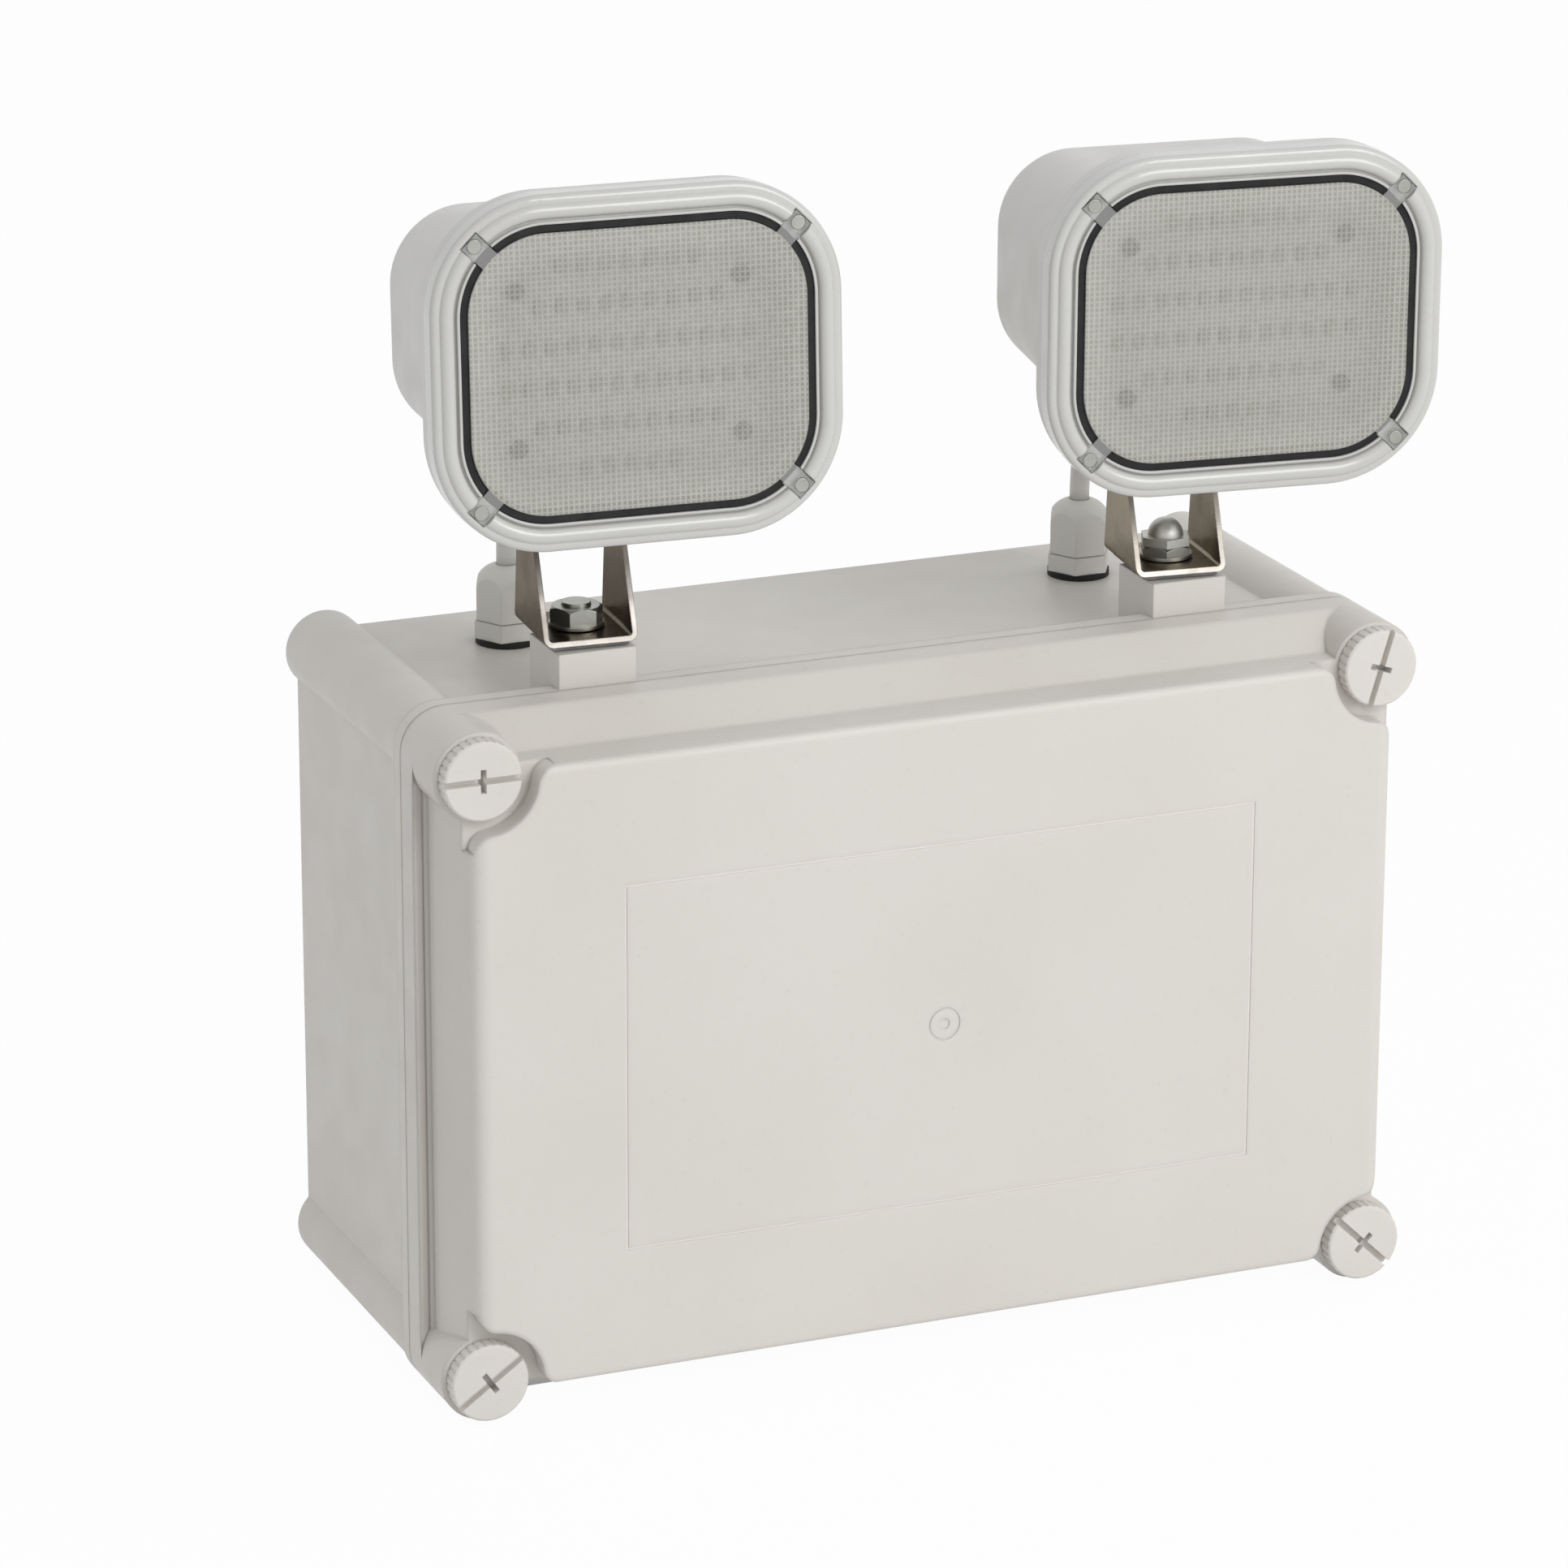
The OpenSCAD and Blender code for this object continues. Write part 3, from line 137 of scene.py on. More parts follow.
class Shader:
    """A material with one Principled node, and short calls that add nodes to it."""

    def __init__(self, name):
        self.material = bpy.data.materials.new(name)
        self.material.use_nodes = True
        self.tree = self.material.node_tree
        self.bsdf = self.tree.nodes["Principled BSDF"]
        self.place = self.add("ShaderNodeTexCoord").outputs["Object"]

    def add(self, kind, **settings):
        n = self.tree.nodes.new(kind)
        for key, value in settings.items():
            setattr(n, key, value)
        return n

    def put(self, socket, value):
        """Links another socket to this one, or sets this one to a value."""
        if isinstance(value, bpy.types.NodeSocket):
            self.tree.links.new(value, socket)
        elif isinstance(value, (tuple, list)) and socket.type == "RGBA" and len(value) == 3:
            socket.default_value = (*value, 1.0)
        else:
            socket.default_value = value

    def set(self, **values):
        """Fills inputs of the Principled node, each named with _ for a space."""
        for key, value in values.items():
            self.put(self.bsdf.inputs[key.replace("_", " ")], value)

    def math(self, operation, a, b=0.0):
        n = self.add("ShaderNodeMath", operation=operation)
        self.put(n.inputs[0], a)
        self.put(n.inputs[1], b)
        return n.outputs[0]

    def noise(self, scale, detail=2.0, roughness=0.5, place=None):
        """A noise with so many cells per unit of place, or per metre if no place is given."""
        n = self.add("ShaderNodeTexNoise")
        self.put(n.inputs["Vector"], place or self.place)
        self.put(n.inputs["Scale"], scale)
        self.put(n.inputs["Detail"], detail)
        self.put(n.inputs["Roughness"], roughness)
        return n.outputs["Fac"]

    def stretched(self, scales):
        """Coordinates scaled along each axis."""
        n = self.add("ShaderNodeVectorMath", operation="MULTIPLY")
        self.put(n.inputs[0], self.place)
        n.inputs[1].default_value = scales
        return n.outputs[0]

    def local(self, matrix):
        """Coordinates in the frame of matrix, in metres."""
        n = self.add("ShaderNodeMapping", vector_type="TEXTURE")
        n.inputs["Location"].default_value = matrix.translation
        n.inputs["Rotation"].default_value = matrix.to_euler("XYZ")
        self.put(n.inputs["Vector"], self.place)
        return n.outputs[0]

    def split(self, vector):
        n = self.add("ShaderNodeSeparateXYZ")
        self.put(n.inputs[0], vector)
        return n.outputs[0], n.outputs[1], n.outputs[2]

    def toward(self, axis, radius):
        """How squarely the surface, with edges rounded by radius, faces along an axis, from 0 to 1."""
        own = self.add("ShaderNodeVectorTransform", vector_type="NORMAL")
        own.convert_from = "WORLD"
        own.convert_to = "OBJECT"
        self.put(own.inputs[0], self.bevel(radius))
        n = self.add("ShaderNodeVectorMath", operation="DOT_PRODUCT")
        self.put(n.inputs[0], own.outputs[0])
        n.inputs[1].default_value = axis
        return self.math("ABSOLUTE", n.outputs["Value"])

    def outside(self, matrix, half_x, half_y, radius):
        """Distance outside a rounded rectangle in the X/Y plane of matrix, negative within it."""
        x, y, z = self.split(self.local(matrix))
        past = []
        for along, half in ((x, half_x), (y, half_y)):
            past.append(self.math("SUBTRACT", self.math("ABSOLUTE", along), half - radius))
        corner = [self.math("MAXIMUM", p, 0.0) for p in past]
        squares = [self.math("MULTIPLY", c, c) for c in corner]
        length = self.math("SQRT", self.math("ADD", *squares))
        within = self.math("MINIMUM", self.math("MAXIMUM", *past), 0.0)
        return self.math("SUBTRACT", self.math("ADD", length, within), radius)

    def from_halfway(self, along, pitch):
        """Distance from halfway between two rows, as a share of their pitch: 0.5 in the middle of a row."""
        turns = self.math("FRACT", self.math("MULTIPLY", along, 1 / pitch))
        return self.math("ABSOLUTE", self.math("SUBTRACT", turns, 0.5))

    def remap(self, value, span, into):
        """Carries a span of values over to another one, and stays at its ends beyond it."""
        n = self.add("ShaderNodeMapRange")
        for socket, v in zip(n.inputs, (value, *span, *into)):
            self.put(socket, v)
        return n.outputs[0]

    def mix(self, share, a, b):
        n = self.add("ShaderNodeMix", data_type="RGBA")
        self.put(n.inputs[0], share)
        self.put(n.inputs[6], a)
        self.put(n.inputs[7], b)
        return n.outputs[2]

    def bevel(self, radius):
        n = self.add("ShaderNodeBevel", samples=4)
        n.inputs["Radius"].default_value = radius
        return n.outputs[0]

    def bump(self, height, strength, distance, normal=None):
        n = self.add("ShaderNodeBump")
        self.put(n.inputs["Height"], height)
        n.inputs["Strength"].default_value = strength
        n.inputs["Distance"].default_value = distance
        if normal is not None:
            self.put(n.inputs["Normal"], normal)
        return n.outputs[0]


def shade(level, tint=WHITE):
    """A linear colour from an sRGB level of 0 to 255 and a tint."""
    c = level / 255.0
    linear = c / 12.92 if c <= 0.04045 else ((c + 0.055) / 1.055) ** 2.4
    return tuple(linear * t for t in tint)


def dimmed(colour, share):
    return tuple(share * c for c in colour)


# Plastics: the cells of their noises per metre, and what each noise does
MOTTLE_SCALE = 14.0
MOTTLE_SHARE = 0.5
FLECK_SCALE = 420.0
FLECK_SHARE = 0.12
FLECK_TONE = 0.72
SHEEN_SCALE = 90.0
SHEEN_SPREAD = 0.06
GRAIN_SCALE = 1500.0
GRAIN_DEPTH = 0.08 * MM
WAVE_SCALE = 38.0
WAVE_STRENGTH = 0.12
WAVE_DEPTH = 0.3 * MM
FLOW_SCALES = (6.0, 900.0, 900.0)
FLOW_DEPTH = 0.1 * MM
SOAK_DEPTHS = (2.0, 1.9, 1.8)
COAT_ROUGHNESS = 0.08
PLASTIC_IOR = 1.5

# Painted shade lies in the corners behind the lid's face, and reaches this far out of them
FACE_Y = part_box("lid")[0].y
CORNER_SHADE_REACH = 9.0 * MM
CORNER_SHADE_TONE = 0.55
CORNER_SHADE_STARTS = (FACE_Y + 0.5 * MM, FACE_Y + 1.5 * MM)

# The frame line in the lid's face, whose groove gets painted light against its own shade: the groove, and the
# part of the face that it is looked for in
GROOVE_STARTS = (FACE_Y + 0.03 * MM, FACE_Y + 0.1 * MM)
GROOVE_LIGHT_HALF_X = 97.0 * MM
GROOVE_LIGHT_HALF_Z = 56.0 * MM
MARK_HALF = 8.0 * MM
GROOVE_LIGHT_MOST = 0.95


def corner_shaded(s, base, colour, corner_shade):
    """The base colour with painted shade: darker in the corners behind the lid's face."""
    near = s.add("ShaderNodeAmbientOcclusion", samples=4)
    near.inputs["Distance"].default_value = CORNER_SHADE_REACH
    x, y, z = s.split(s.place)
    behind = s.remap(y, CORNER_SHADE_STARTS, (0.0, corner_shade))
    share = s.math("MULTIPLY", s.remap(near.outputs["AO"], (0.35, 0.95), (1.0, 0.0)), behind)
    return s.mix(share, base, dimmed(colour, CORNER_SHADE_TONE))


def groove_lit(s, base, colour, groove_light):
    """The base colour with painted light: lighter in the groove of the frame line, against the groove's
    shade, but not in the small marks in the middle.
    """
    x, y, z = s.split(s.place)
    low = s.remap(y, GROOVE_STARTS, ALL)
    for along, half in ((x, GROOVE_LIGHT_HALF_X), (z, GROOVE_LIGHT_HALF_Z)):
        low = s.math("MULTIPLY", low, s.math("LESS_THAN", s.math("ABSOLUTE", along), half))
    beyond = s.math("MAXIMUM", s.math("ABSOLUTE", x), s.math("ABSOLUTE", z))
    low = s.math("MULTIPLY", low, s.math("GREATER_THAN", beyond, MARK_HALF))
    return s.mix(low, base, tuple(min(GROOVE_LIGHT_MOST, groove_light * c) for c in colour))


def moulded(name, colour, deeper, rough, grain, edge, streaks=0.0, coat=0.0, corner_shade=0.0, glow=0.0, groove_light=0.0):
    """Moulded plastic with slow mottling, flecks, fine grain, slight waves and soft edges. It can also have
    faint flow lines, a gloss coat, painted shade in its corners, light that soaks in, and painted light in
    the groove of its frame line."""
    s = Shader(name)
    cloud = s.remap(s.noise(MOTTLE_SCALE, 3.0), (0.35, 0.7), (0.0, MOTTLE_SHARE))
    base = s.mix(cloud, colour, deeper)
    fleck = s.remap(s.noise(FLECK_SCALE), (0.62, 0.75), (0.0, FLECK_SHARE))
    base = s.mix(fleck, base, dimmed(colour, FLECK_TONE))
    # Painted shade in the corners behind the lid's face
    if corner_shade:
        base = corner_shaded(s, base, colour, corner_shade)
    # Painted light in the groove of the frame line
    if groove_light:
        base = groove_lit(s, base, colour, groove_light)
    s.set(Base_Color=base)
    if glow:
        s.set(Subsurface_Weight=glow, Subsurface_Radius=SOAK_DEPTHS, Subsurface_Scale=MM)
    s.set(Roughness=s.remap(s.noise(SHEEN_SCALE, 3.0), MOST, (rough - SHEEN_SPREAD, rough + SHEEN_SPREAD)))
    s.set(IOR=PLASTIC_IOR)
    normal = s.bump(s.noise(GRAIN_SCALE), grain, GRAIN_DEPTH, s.bevel(edge))
    normal = s.bump(s.noise(WAVE_SCALE), WAVE_STRENGTH, WAVE_DEPTH, normal)
    if streaks:
        lines = s.noise(1.0, 2.0, 0.6, s.stretched(FLOW_SCALES))
        normal = s.bump(lines, streaks, FLOW_DEPTH, normal)
    if coat:
        s.set(Coat_Weight=coat, Coat_Roughness=COAT_ROUGHNESS)
    s.set(Normal=normal)
    return s.material


# Rubber
DUST_SCALE = 160.0
DUST_TINT = (3.0, 3.0, 2.8)
RUBBER_SHEEN_SCALE = 300.0
RUBBER_GRAIN_SCALE = 1200.0
RUBBER_EDGE = 0.3 * MM


def rubber(name, level):
    """Rubber of a linear grey level, with a little dust on it."""
    s = Shader(name)
    dust = s.remap(s.noise(DUST_SCALE, 4.0), (0.5, 0.75), (0.0, 0.3))
    s.set(Base_Color=s.mix(dust, dimmed(WHITE, level), dimmed(DUST_TINT, level)))
    s.set(Roughness=s.remap(s.noise(RUBBER_SHEEN_SCALE), MOST, (0.5, 0.7)), Specular_IOR_Level=0.3)
    s.set(Normal=s.bump(s.noise(RUBBER_GRAIN_SCALE), 0.3, GRAIN_DEPTH, s.bevel(RUBBER_EDGE)))
    return s.material


# Metals: their fine lines are drawn out along the axis whose scale is small
SANDED = (300.0, 300.0, 300.0)
ALONG_X = (12.0, 900.0, 900.0)
ALONG_Z = (900.0, 900.0, 10.0)
LINE_TONE = 0.78
LINE_DEPTH = 0.05 * MM
STAIN_SCALE = 70.0
STAIN_TINT = (0.62, 0.6, 0.56)
METAL_SHEEN_SCALE = 120.0
METAL_EDGE = 0.35 * MM
CUT_ROUND = 0.7 * MM


def metal(name, colour, rough, brush, marks, bright=None, edge_tint=WHITE):
    """Brushed or plated steel: fine lines along one way, cloudy roughness, a few stains and soft edges.
    With an axis and a colour for the cut edges, those that face along the axis are painted that colour as
    painted light."""
    s = Shader(name)
    lines = s.noise(1.0, 3.0, 0.6, s.stretched(brush))
    stain = s.remap(s.noise(STAIN_SCALE, 4.0), (0.4, 0.75), (0.0, marks))
    tone = s.mix(s.remap(lines, MOST, (0.0, 0.3)), colour, dimmed(colour, LINE_TONE))
    tone = s.mix(stain, tone, tuple(c * k for c, k in zip(colour, STAIN_TINT)))
    if bright:
        axis, edge_paint = bright
        # Painted light on the cut edges that face along the axis
        tone = s.mix(s.remap(s.toward(axis, CUT_ROUND), (0.86, 0.98), ALL), tone, edge_paint)
    s.set(Base_Color=tone)
    s.set(Metallic=1.0, Specular_Tint=edge_tint)
    s.set(Roughness=s.remap(s.noise(METAL_SHEEN_SCALE, 3.0), MOST, (rough - 0.07, rough + 0.1)))
    s.set(Normal=s.bump(lines, 0.18, LINE_DEPTH, s.bevel(METAL_EDGE)))
    return s.material


# Lenses: their outline as in the CAD, their prisms, and how far they hide what is behind
LENS_HALF_X = 46.1 * MM
LENS_HALF_Y = 37.3 * MM
LENS_RADIUS = 21.2 * MM
LENS_EDGE = 0.5 * MM
LENS_IOR = 1.49
PRISM_PITCH = 1.45 * MM
PRISM_DEPTH = 0.3 * MM
ROW_SHARE = 0.88
PRISM_VEIL = (0.45, 0.68)
BORDER = (-10.0 * MM, -3.0 * MM)
BORDER_VEIL = (0.0, 0.16)
EAR_STARTS = (-0.4 * MM, 0.0)
EAR_ROUND = 0.4 * MM
EAR_VEIL = (0.04, 0.34)
FRONT_STARTS = (-1.4 * MM, -0.9 * MM)
LENS_WEAR_SCALE = 600.0
LENS_TINT_SCALE = 28.0
# The prisms' troughs and ridges are one clear plastic, painted darker in the troughs and lighter on the
# ridges as painted shade and highlight
PRISM_TROUGH_SHADE = shade(184, (1.0, 0.99, 0.88))
PRISM_RIDGE_HIGHLIGHT = shade(200, (1.0, 0.995, 0.91))
WORN = shade(222, (1.0, 1.0, 0.94))
TINGED = shade(196, (1.0, 0.96, 0.97))
EAR = shade(222, (1.0, 0.995, 0.97))


def lens_material(side):
    """Clear plastic with a grid of small prisms that half hide what is behind, painted lighter on their
    ridges and darker in their troughs as painted highlight and shade, and clear smooth ears.
    Its back is left fully transparent, so that a ray meets the veil only once."""
    s = Shader(f"{side}_prisms")
    x, y, z = s.split(s.local(faces[side]))
    columns = s.from_halfway(x, PRISM_PITCH)
    rows = s.math("MULTIPLY", s.from_halfway(y, PRISM_PITCH), ROW_SHARE)
    height = s.math("MULTIPLY", s.math("MAXIMUM", columns, rows), 2.0)
    wear = s.noise(LENS_WEAR_SCALE, 1.0)
    tone = s.mix(s.remap(height, (0.5, 0.95), (0.0, 0.8)), PRISM_TROUGH_SHADE, PRISM_RIDGE_HIGHLIGHT)
    tone = s.mix(s.remap(wear, (0.4, 0.7), (0.0, 0.2)), tone, WORN)
    tone = s.mix(s.remap(s.noise(LENS_TINT_SCALE), (0.45, 0.7), (0.0, 0.2)), tone, TINGED)
    past = s.outside(faces[side], LENS_HALF_X, LENS_HALF_Y, LENS_RADIUS)
    ear = s.remap(past, EAR_STARTS, ALL)
    grid = s.math("SUBTRACT", 1.0, ear)
    s.set(Base_Color=s.mix(ear, tone, EAR))
    veil = s.math("ADD", s.remap(height, (0.3, 0.92), PRISM_VEIL), s.remap(past, BORDER, BORDER_VEIL))
    square_on = s.toward(faces[side].col[2].xyz, EAR_ROUND)
    ear_veil = s.remap(square_on, (0.5, 0.95), EAR_VEIL)
    veil = s.math("ADD", s.math("MULTIPLY", veil, grid), s.math("MULTIPLY", ear_veil, ear))
    s.set(Alpha=s.math("MULTIPLY", veil, s.remap(z, FRONT_STARTS, ALL)))
    s.set(Roughness=s.remap(wear, MOST, (0.08, 0.2)))
    s.set(IOR=LENS_IOR)
    s.set(Normal=s.bump(s.math("MULTIPLY", height, grid), 0.4, PRISM_DEPTH, s.bevel(LENS_EDGE)))
    return s.material


# Boards behind the lenses, and their chips in rows
ROW_PITCH = 10.7 * MM
TRACK_ENDS = (0.02, 0.05)
WINDOW_STARTS = (0.26, 0.3)
RESIST_SCALE = 45.0
RESIST_SHEEN_SCALE = 200.0
CRYSTAL_SCALE = 2500.0
THIN = 0.05 * MM
RESIST = shade(192, (1.0, 0.99, 0.95))
RESIST_DEEP = shade(178, (1.0, 0.985, 0.94))
TRACK = shade(150, (1.0, 0.95, 0.85))
CHIP_CASE = shade(158, (1.0, 0.98, 0.88))
PHOSPHOR = (0.95, 0.93, 0.6)
PHOSPHOR_DEEP = (0.9, 0.86, 0.5)


def board_material(side):
    """White solder resist with a thin track between each two rows of chips."""
    s = Shader(f"{side}_board")
    x, y, z = s.split(s.local(faces[side]))
    line = s.remap(s.from_halfway(y, ROW_PITCH), TRACK_ENDS, (1.0, 0.0))
    base = s.mix(s.remap(s.noise(RESIST_SCALE, 3.0), (0.4, 0.7), (0.0, 0.3)), RESIST, RESIST_DEEP)
    s.set(Base_Color=s.mix(s.math("MULTIPLY", line, 0.35), base, TRACK))
    s.set(Roughness=s.remap(s.noise(RESIST_SHEEN_SCALE), MOST, (0.25, 0.4)))
    s.set(Normal=s.bump(line, 0.3, THIN))
    return s.material


def chip_material(side):
    """A yellow phosphor window in the middle of each row of chips, and a darker case colour at the chips'
    ends.
    """
    s = Shader(f"{side}_chips")
    x, y, z = s.split(s.local(faces[side]))
    window = s.remap(s.from_halfway(y, ROW_PITCH), WINDOW_STARTS, ALL)
    crystals = s.noise(CRYSTAL_SCALE)
    s.set(Base_Color=s.mix(window, CHIP_CASE, s.mix(crystals, PHOSPHOR, PHOSPHOR_DEEP)))
    s.set(Roughness=s.remap(crystals, MOST, (0.3, 0.5)))
    s.set(Normal=s.bump(crystals, 0.2, THIN))
    return s.material


# The control board
TRACK_SCALES = (260.0, 1.0, 260.0)
TRACK_DEPTH = 0.06 * MM
SPECK_SCALE = 300.0
GREEN_SHEEN_SCALE = 120.0
GREEN = (0.012, 0.11, 0.045)
GREEN_TRACK = (0.03, 0.2, 0.08)
GREEN_SPECK = (0.02, 0.15, 0.06)


def board_green():
    """Green solder resist with routed tracks and pads."""
    s = Shader("control_board_green")
    cells = s.add("ShaderNodeTexVoronoi", feature="DISTANCE_TO_EDGE", distance="MANHATTAN")
    s.put(cells.inputs["Vector"], s.stretched(TRACK_SCALES))
    s.put(cells.inputs["Scale"], 1.0)
    track = s.remap(cells.outputs["Distance"], (0.05, 0.09), (1.0, 0.0))
    base = s.mix(track, GREEN, GREEN_TRACK)
    s.set(Base_Color=s.mix(s.remap(s.noise(SPECK_SCALE), (0.55, 0.7), (0.0, 0.2)), base, GREEN_SPECK))
    s.set(Roughness=s.remap(s.noise(GREEN_SHEEN_SCALE), MOST, (0.22, 0.36)))
    s.set(Normal=s.bump(track, 0.35, TRACK_DEPTH))
    return s.material


# The parts on the control board, as in the CAD. Each has its place as shares of the board's size,
# its width, its depth up the board, and its colour
BOARD_PARTS = [
    ((-0.25, 0.2), 34 * MM, 34 * MM, (0.5, 0.33, 0.09)),
    ((0.17, 0.33), 39.6 * MM, 12 * MM, (0.035, 0.05, 0.16)),
    ((-0.25, -0.25), 18 * MM, 15 * MM, (0.04, 0.13, 0.42)),
    ((0.2, -0.05), 34 * MM, 22 * MM, (0.42, 0.43, 0.45)),
    ((0.12, -0.33), 24 * MM, 8 * MM, (0.7, 0.69, 0.66)),
]
PART_GREY = (0.3, 0.3, 0.3)
PART_MARGIN = 0.6 * MM
PART_EDGE = 0.4 * MM
PART_WEAR_SCALE = 240.0
PART_SHEEN_SCALE = 150.0
PART_GRAIN_SCALE = 900.0


def components():
    """The parts on the board: each place on it has the colour of what stands there."""
    s = Shader("board_parts")
    low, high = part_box("control_board")
    x, y, z = s.split(s.place)
    colour = PART_GREY
    for (share_x, share_z), wide, deep, own in BOARD_PARTS:
        middle_x = (low.x + high.x) / 2 + share_x * (high.x - low.x)
        middle_z = (low.z + high.z) / 2 + share_z * (high.z - low.z)
        within = 1.0
        for along, middle, size in ((x, middle_x, wide), (z, middle_z, deep)):
            off = s.math("ABSOLUTE", s.math("SUBTRACT", along, middle))
            within = s.math("MULTIPLY", within, s.math("LESS_THAN", off, size / 2 + PART_MARGIN))
        colour = s.mix(within, colour, own)
    wear = s.remap(s.noise(PART_WEAR_SCALE, 3.0), (0.4, 0.7), (0.0, 0.25))
    s.set(Base_Color=s.mix(wear, colour, PART_GREY))
    s.set(Roughness=s.remap(s.noise(PART_SHEEN_SCALE), MOST, (0.35, 0.5)))
    s.set(Normal=s.bump(s.noise(PART_GRAIN_SCALE), 0.2, GRAIN_DEPTH, s.bevel(PART_EDGE)))
    return s.material


# Colours
SHELL = shade(222, (1.0, 0.965, 0.91))
SHELL_DEEP = shade(215, (1.0, 0.955, 0.89))
SCREW = shade(226, (1.0, 0.97, 0.92))
HEAD = shade(220, (1.0, 0.99, 0.965))
HEAD_DEEP = shade(210, (1.0, 0.985, 0.95))
BEZEL = shade(203, (1.0, 0.995, 0.965))
BEZEL_DEEP = shade(194, (1.0, 0.99, 0.955))
GLAND = shade(220, (1.0, 0.985, 0.93))
GLAND_DEEP = shade(208, (1.0, 0.98, 0.92))
SHEATH = shade(218, (1.0, 0.98, 0.93))
SHEATH_DEEP = shade(206, (1.0, 0.975, 0.91))
TERMINAL = shade(214)
TERMINAL_DEEP = shade(200)
BATTERY = (0.025, 0.025, 0.03)
BATTERY_DEEP = (0.035, 0.035, 0.04)
AMBER = (0.72, 0.42, 0.03)
AMBER_DEEP = (0.62, 0.34, 0.02)
PILOT = (0.05, 0.42, 0.08)
PILOT_DEEP = (0.03, 0.3, 0.05)
ZINC = (0.42, 0.425, 0.395)
CHROME = (0.62, 0.615, 0.58)
DULL_STEEL = (0.09, 0.085, 0.08)
TRAY_STEEL = (0.55, 0.56, 0.57)
# The yokes are one steel, painted darker on the left and lighter on the right as painted shade and light
YOKE_STEEL_AS_LIT = {"left": (0.18, 0.163, 0.145), "right": (0.33, 0.3, 0.255)}
# The colour painted on the yokes' cut edges, standing in for the light those edges catch
CUT_EDGE_PAINT = (0.25, 0.238, 0.225)
STEEL_EDGE_TINT = (0.62, 0.58, 0.53)
BLACK_LEVEL = 0.012
PAD_SHADE_LEVEL = 0.2

shell = moulded(
    "shell_plastic",
    SHELL,
    SHELL_DEEP,
    rough=0.44,
    grain=0.3,
    edge=0.9 * MM,
    streaks=0.12,
    corner_shade=0.3,
)
lid_shell = moulded(
    "lid_plastic",
    SHELL,
    SHELL_DEEP,
    rough=0.42,
    grain=0.25,
    edge=2.2 * MM,
    streaks=0.14,
    corner_shade=0.1,
    glow=0.35,
    groove_light=1.17,
)
screw_shell = moulded("screw_plastic", SCREW, SHELL_DEEP, rough=0.4, grain=0.15, edge=0.3 * MM, glow=0.4)
head_plastic = moulded("housing_plastic", HEAD, HEAD_DEEP, rough=0.4, grain=0.25, edge=0.8 * MM)
bezel_plastic = moulded("bezel_gloss", BEZEL, BEZEL_DEEP, rough=0.3, grain=0.06, edge=0.6 * MM, coat=0.6)
gland_plastic = moulded("gland_nylon", GLAND, GLAND_DEEP, rough=0.5, grain=0.3, edge=0.4 * MM)
sheath = moulded("lead_sheath", SHEATH, SHEATH_DEEP, rough=0.45, grain=0.2, edge=0.2 * MM)
terminal = moulded("terminal_nylon", TERMINAL, TERMINAL_DEEP, rough=0.45, grain=0.2, edge=0.4 * MM)
battery_case = moulded("battery_case", BATTERY, BATTERY_DEEP, rough=0.42, grain=0.4, edge=0.8 * MM)
button = moulded("button_cap", AMBER, AMBER_DEEP, rough=0.3, grain=0.1, edge=0.4 * MM)
indicator = moulded("indicator_cap", PILOT, PILOT_DEEP, rough=0.15, grain=0.05, edge=0.3 * MM)
black = rubber("black_rubber", BLACK_LEVEL)
# The yoke pads are real rubber pads, coloured dark grey also as painted shade for the gap under each yoke's
# plate
pad_rubber_and_shade = rubber("yoke_pad_rubber_and_shade", PAD_SHADE_LEVEL)
plated = metal("zinc_plate", ZINC, 0.36, brush=SANDED, marks=0.5)
polished = metal("cap_nut_chrome", CHROME, 0.5, brush=SANDED, marks=0.2)
dull = metal("board_screw_steel", DULL_STEEL, 0.4, brush=SANDED, marks=0.3)
tray_steel = metal("tray_steel", TRAY_STEEL, 0.38, brush=ALONG_X, marks=0.4)


def yoke_steel(side):
    """Stainless strip with fine lines up the arms, in a colour painted per side as painted light and shade.
    Its cut edges face level and square to the tilt axis, and are painted one colour as painted light.
    """
    ahead = Vector((0, 0, 1)).cross(tilt_axis(side)).normalized()
    return metal(
        f"{side}_stainless",
        YOKE_STEEL_AS_LIT[side],
        0.27,
        brush=ALONG_Z,
        marks=0.35,
        bright=(ahead, CUT_EDGE_PAINT),
        edge_tint=STEEL_EDGE_TINT,
    )


# What each piece is made of. Only the right head's bolt has a cap nut
given = {
    "enclosure_base": shell,
    "lid": lid_shell,
    "lid_gasket": black,
    "gear_tray": tray_steel,
    "gear_screws": plated,
    "battery": battery_case,
    "battery_strap": tray_steel,
    "control_board": board_green(),
    "board_components": components(),
    "mains_terminal": terminal,
    "output_terminals": terminal,
    "test_button": button,
    "status_indicator": indicator,
    "right_cap_nut": polished,
}
for corner in ("top_left", "top_right", "bottom_left", "bottom_right"):
    given[f"{corner}_lid_screw"] = screw_shell
for side in SIDES:
    parts = {
        "yoke": yoke_steel(side),
        "yoke_pad": pad_rubber_and_shade,
        "pan_bolt": plated,
        "pan_washer": plated,
        "pan_nut": plated,
        "tilt_bolt": plated,
        "tilt_nut": plated,
        "head_housing": head_plastic,
        "bezel": bezel_plastic,
        "lens_gasket": black,
        "lens": lens_material(side),
        "lens_screws": plated,
        "led_board": board_material(side),
        "led_chips": chip_material(side),
        "board_screws": dull,
        "grommet": black,
        "gland_washer": black,
        "gland_body": gland_plastic,
        "gland_cap": gland_plastic,
        "gland_locknut": gland_plastic,
        "lead": sheath,
    }
    for part, finish in parts.items():
        given[f"{side}_{part}"] = finish
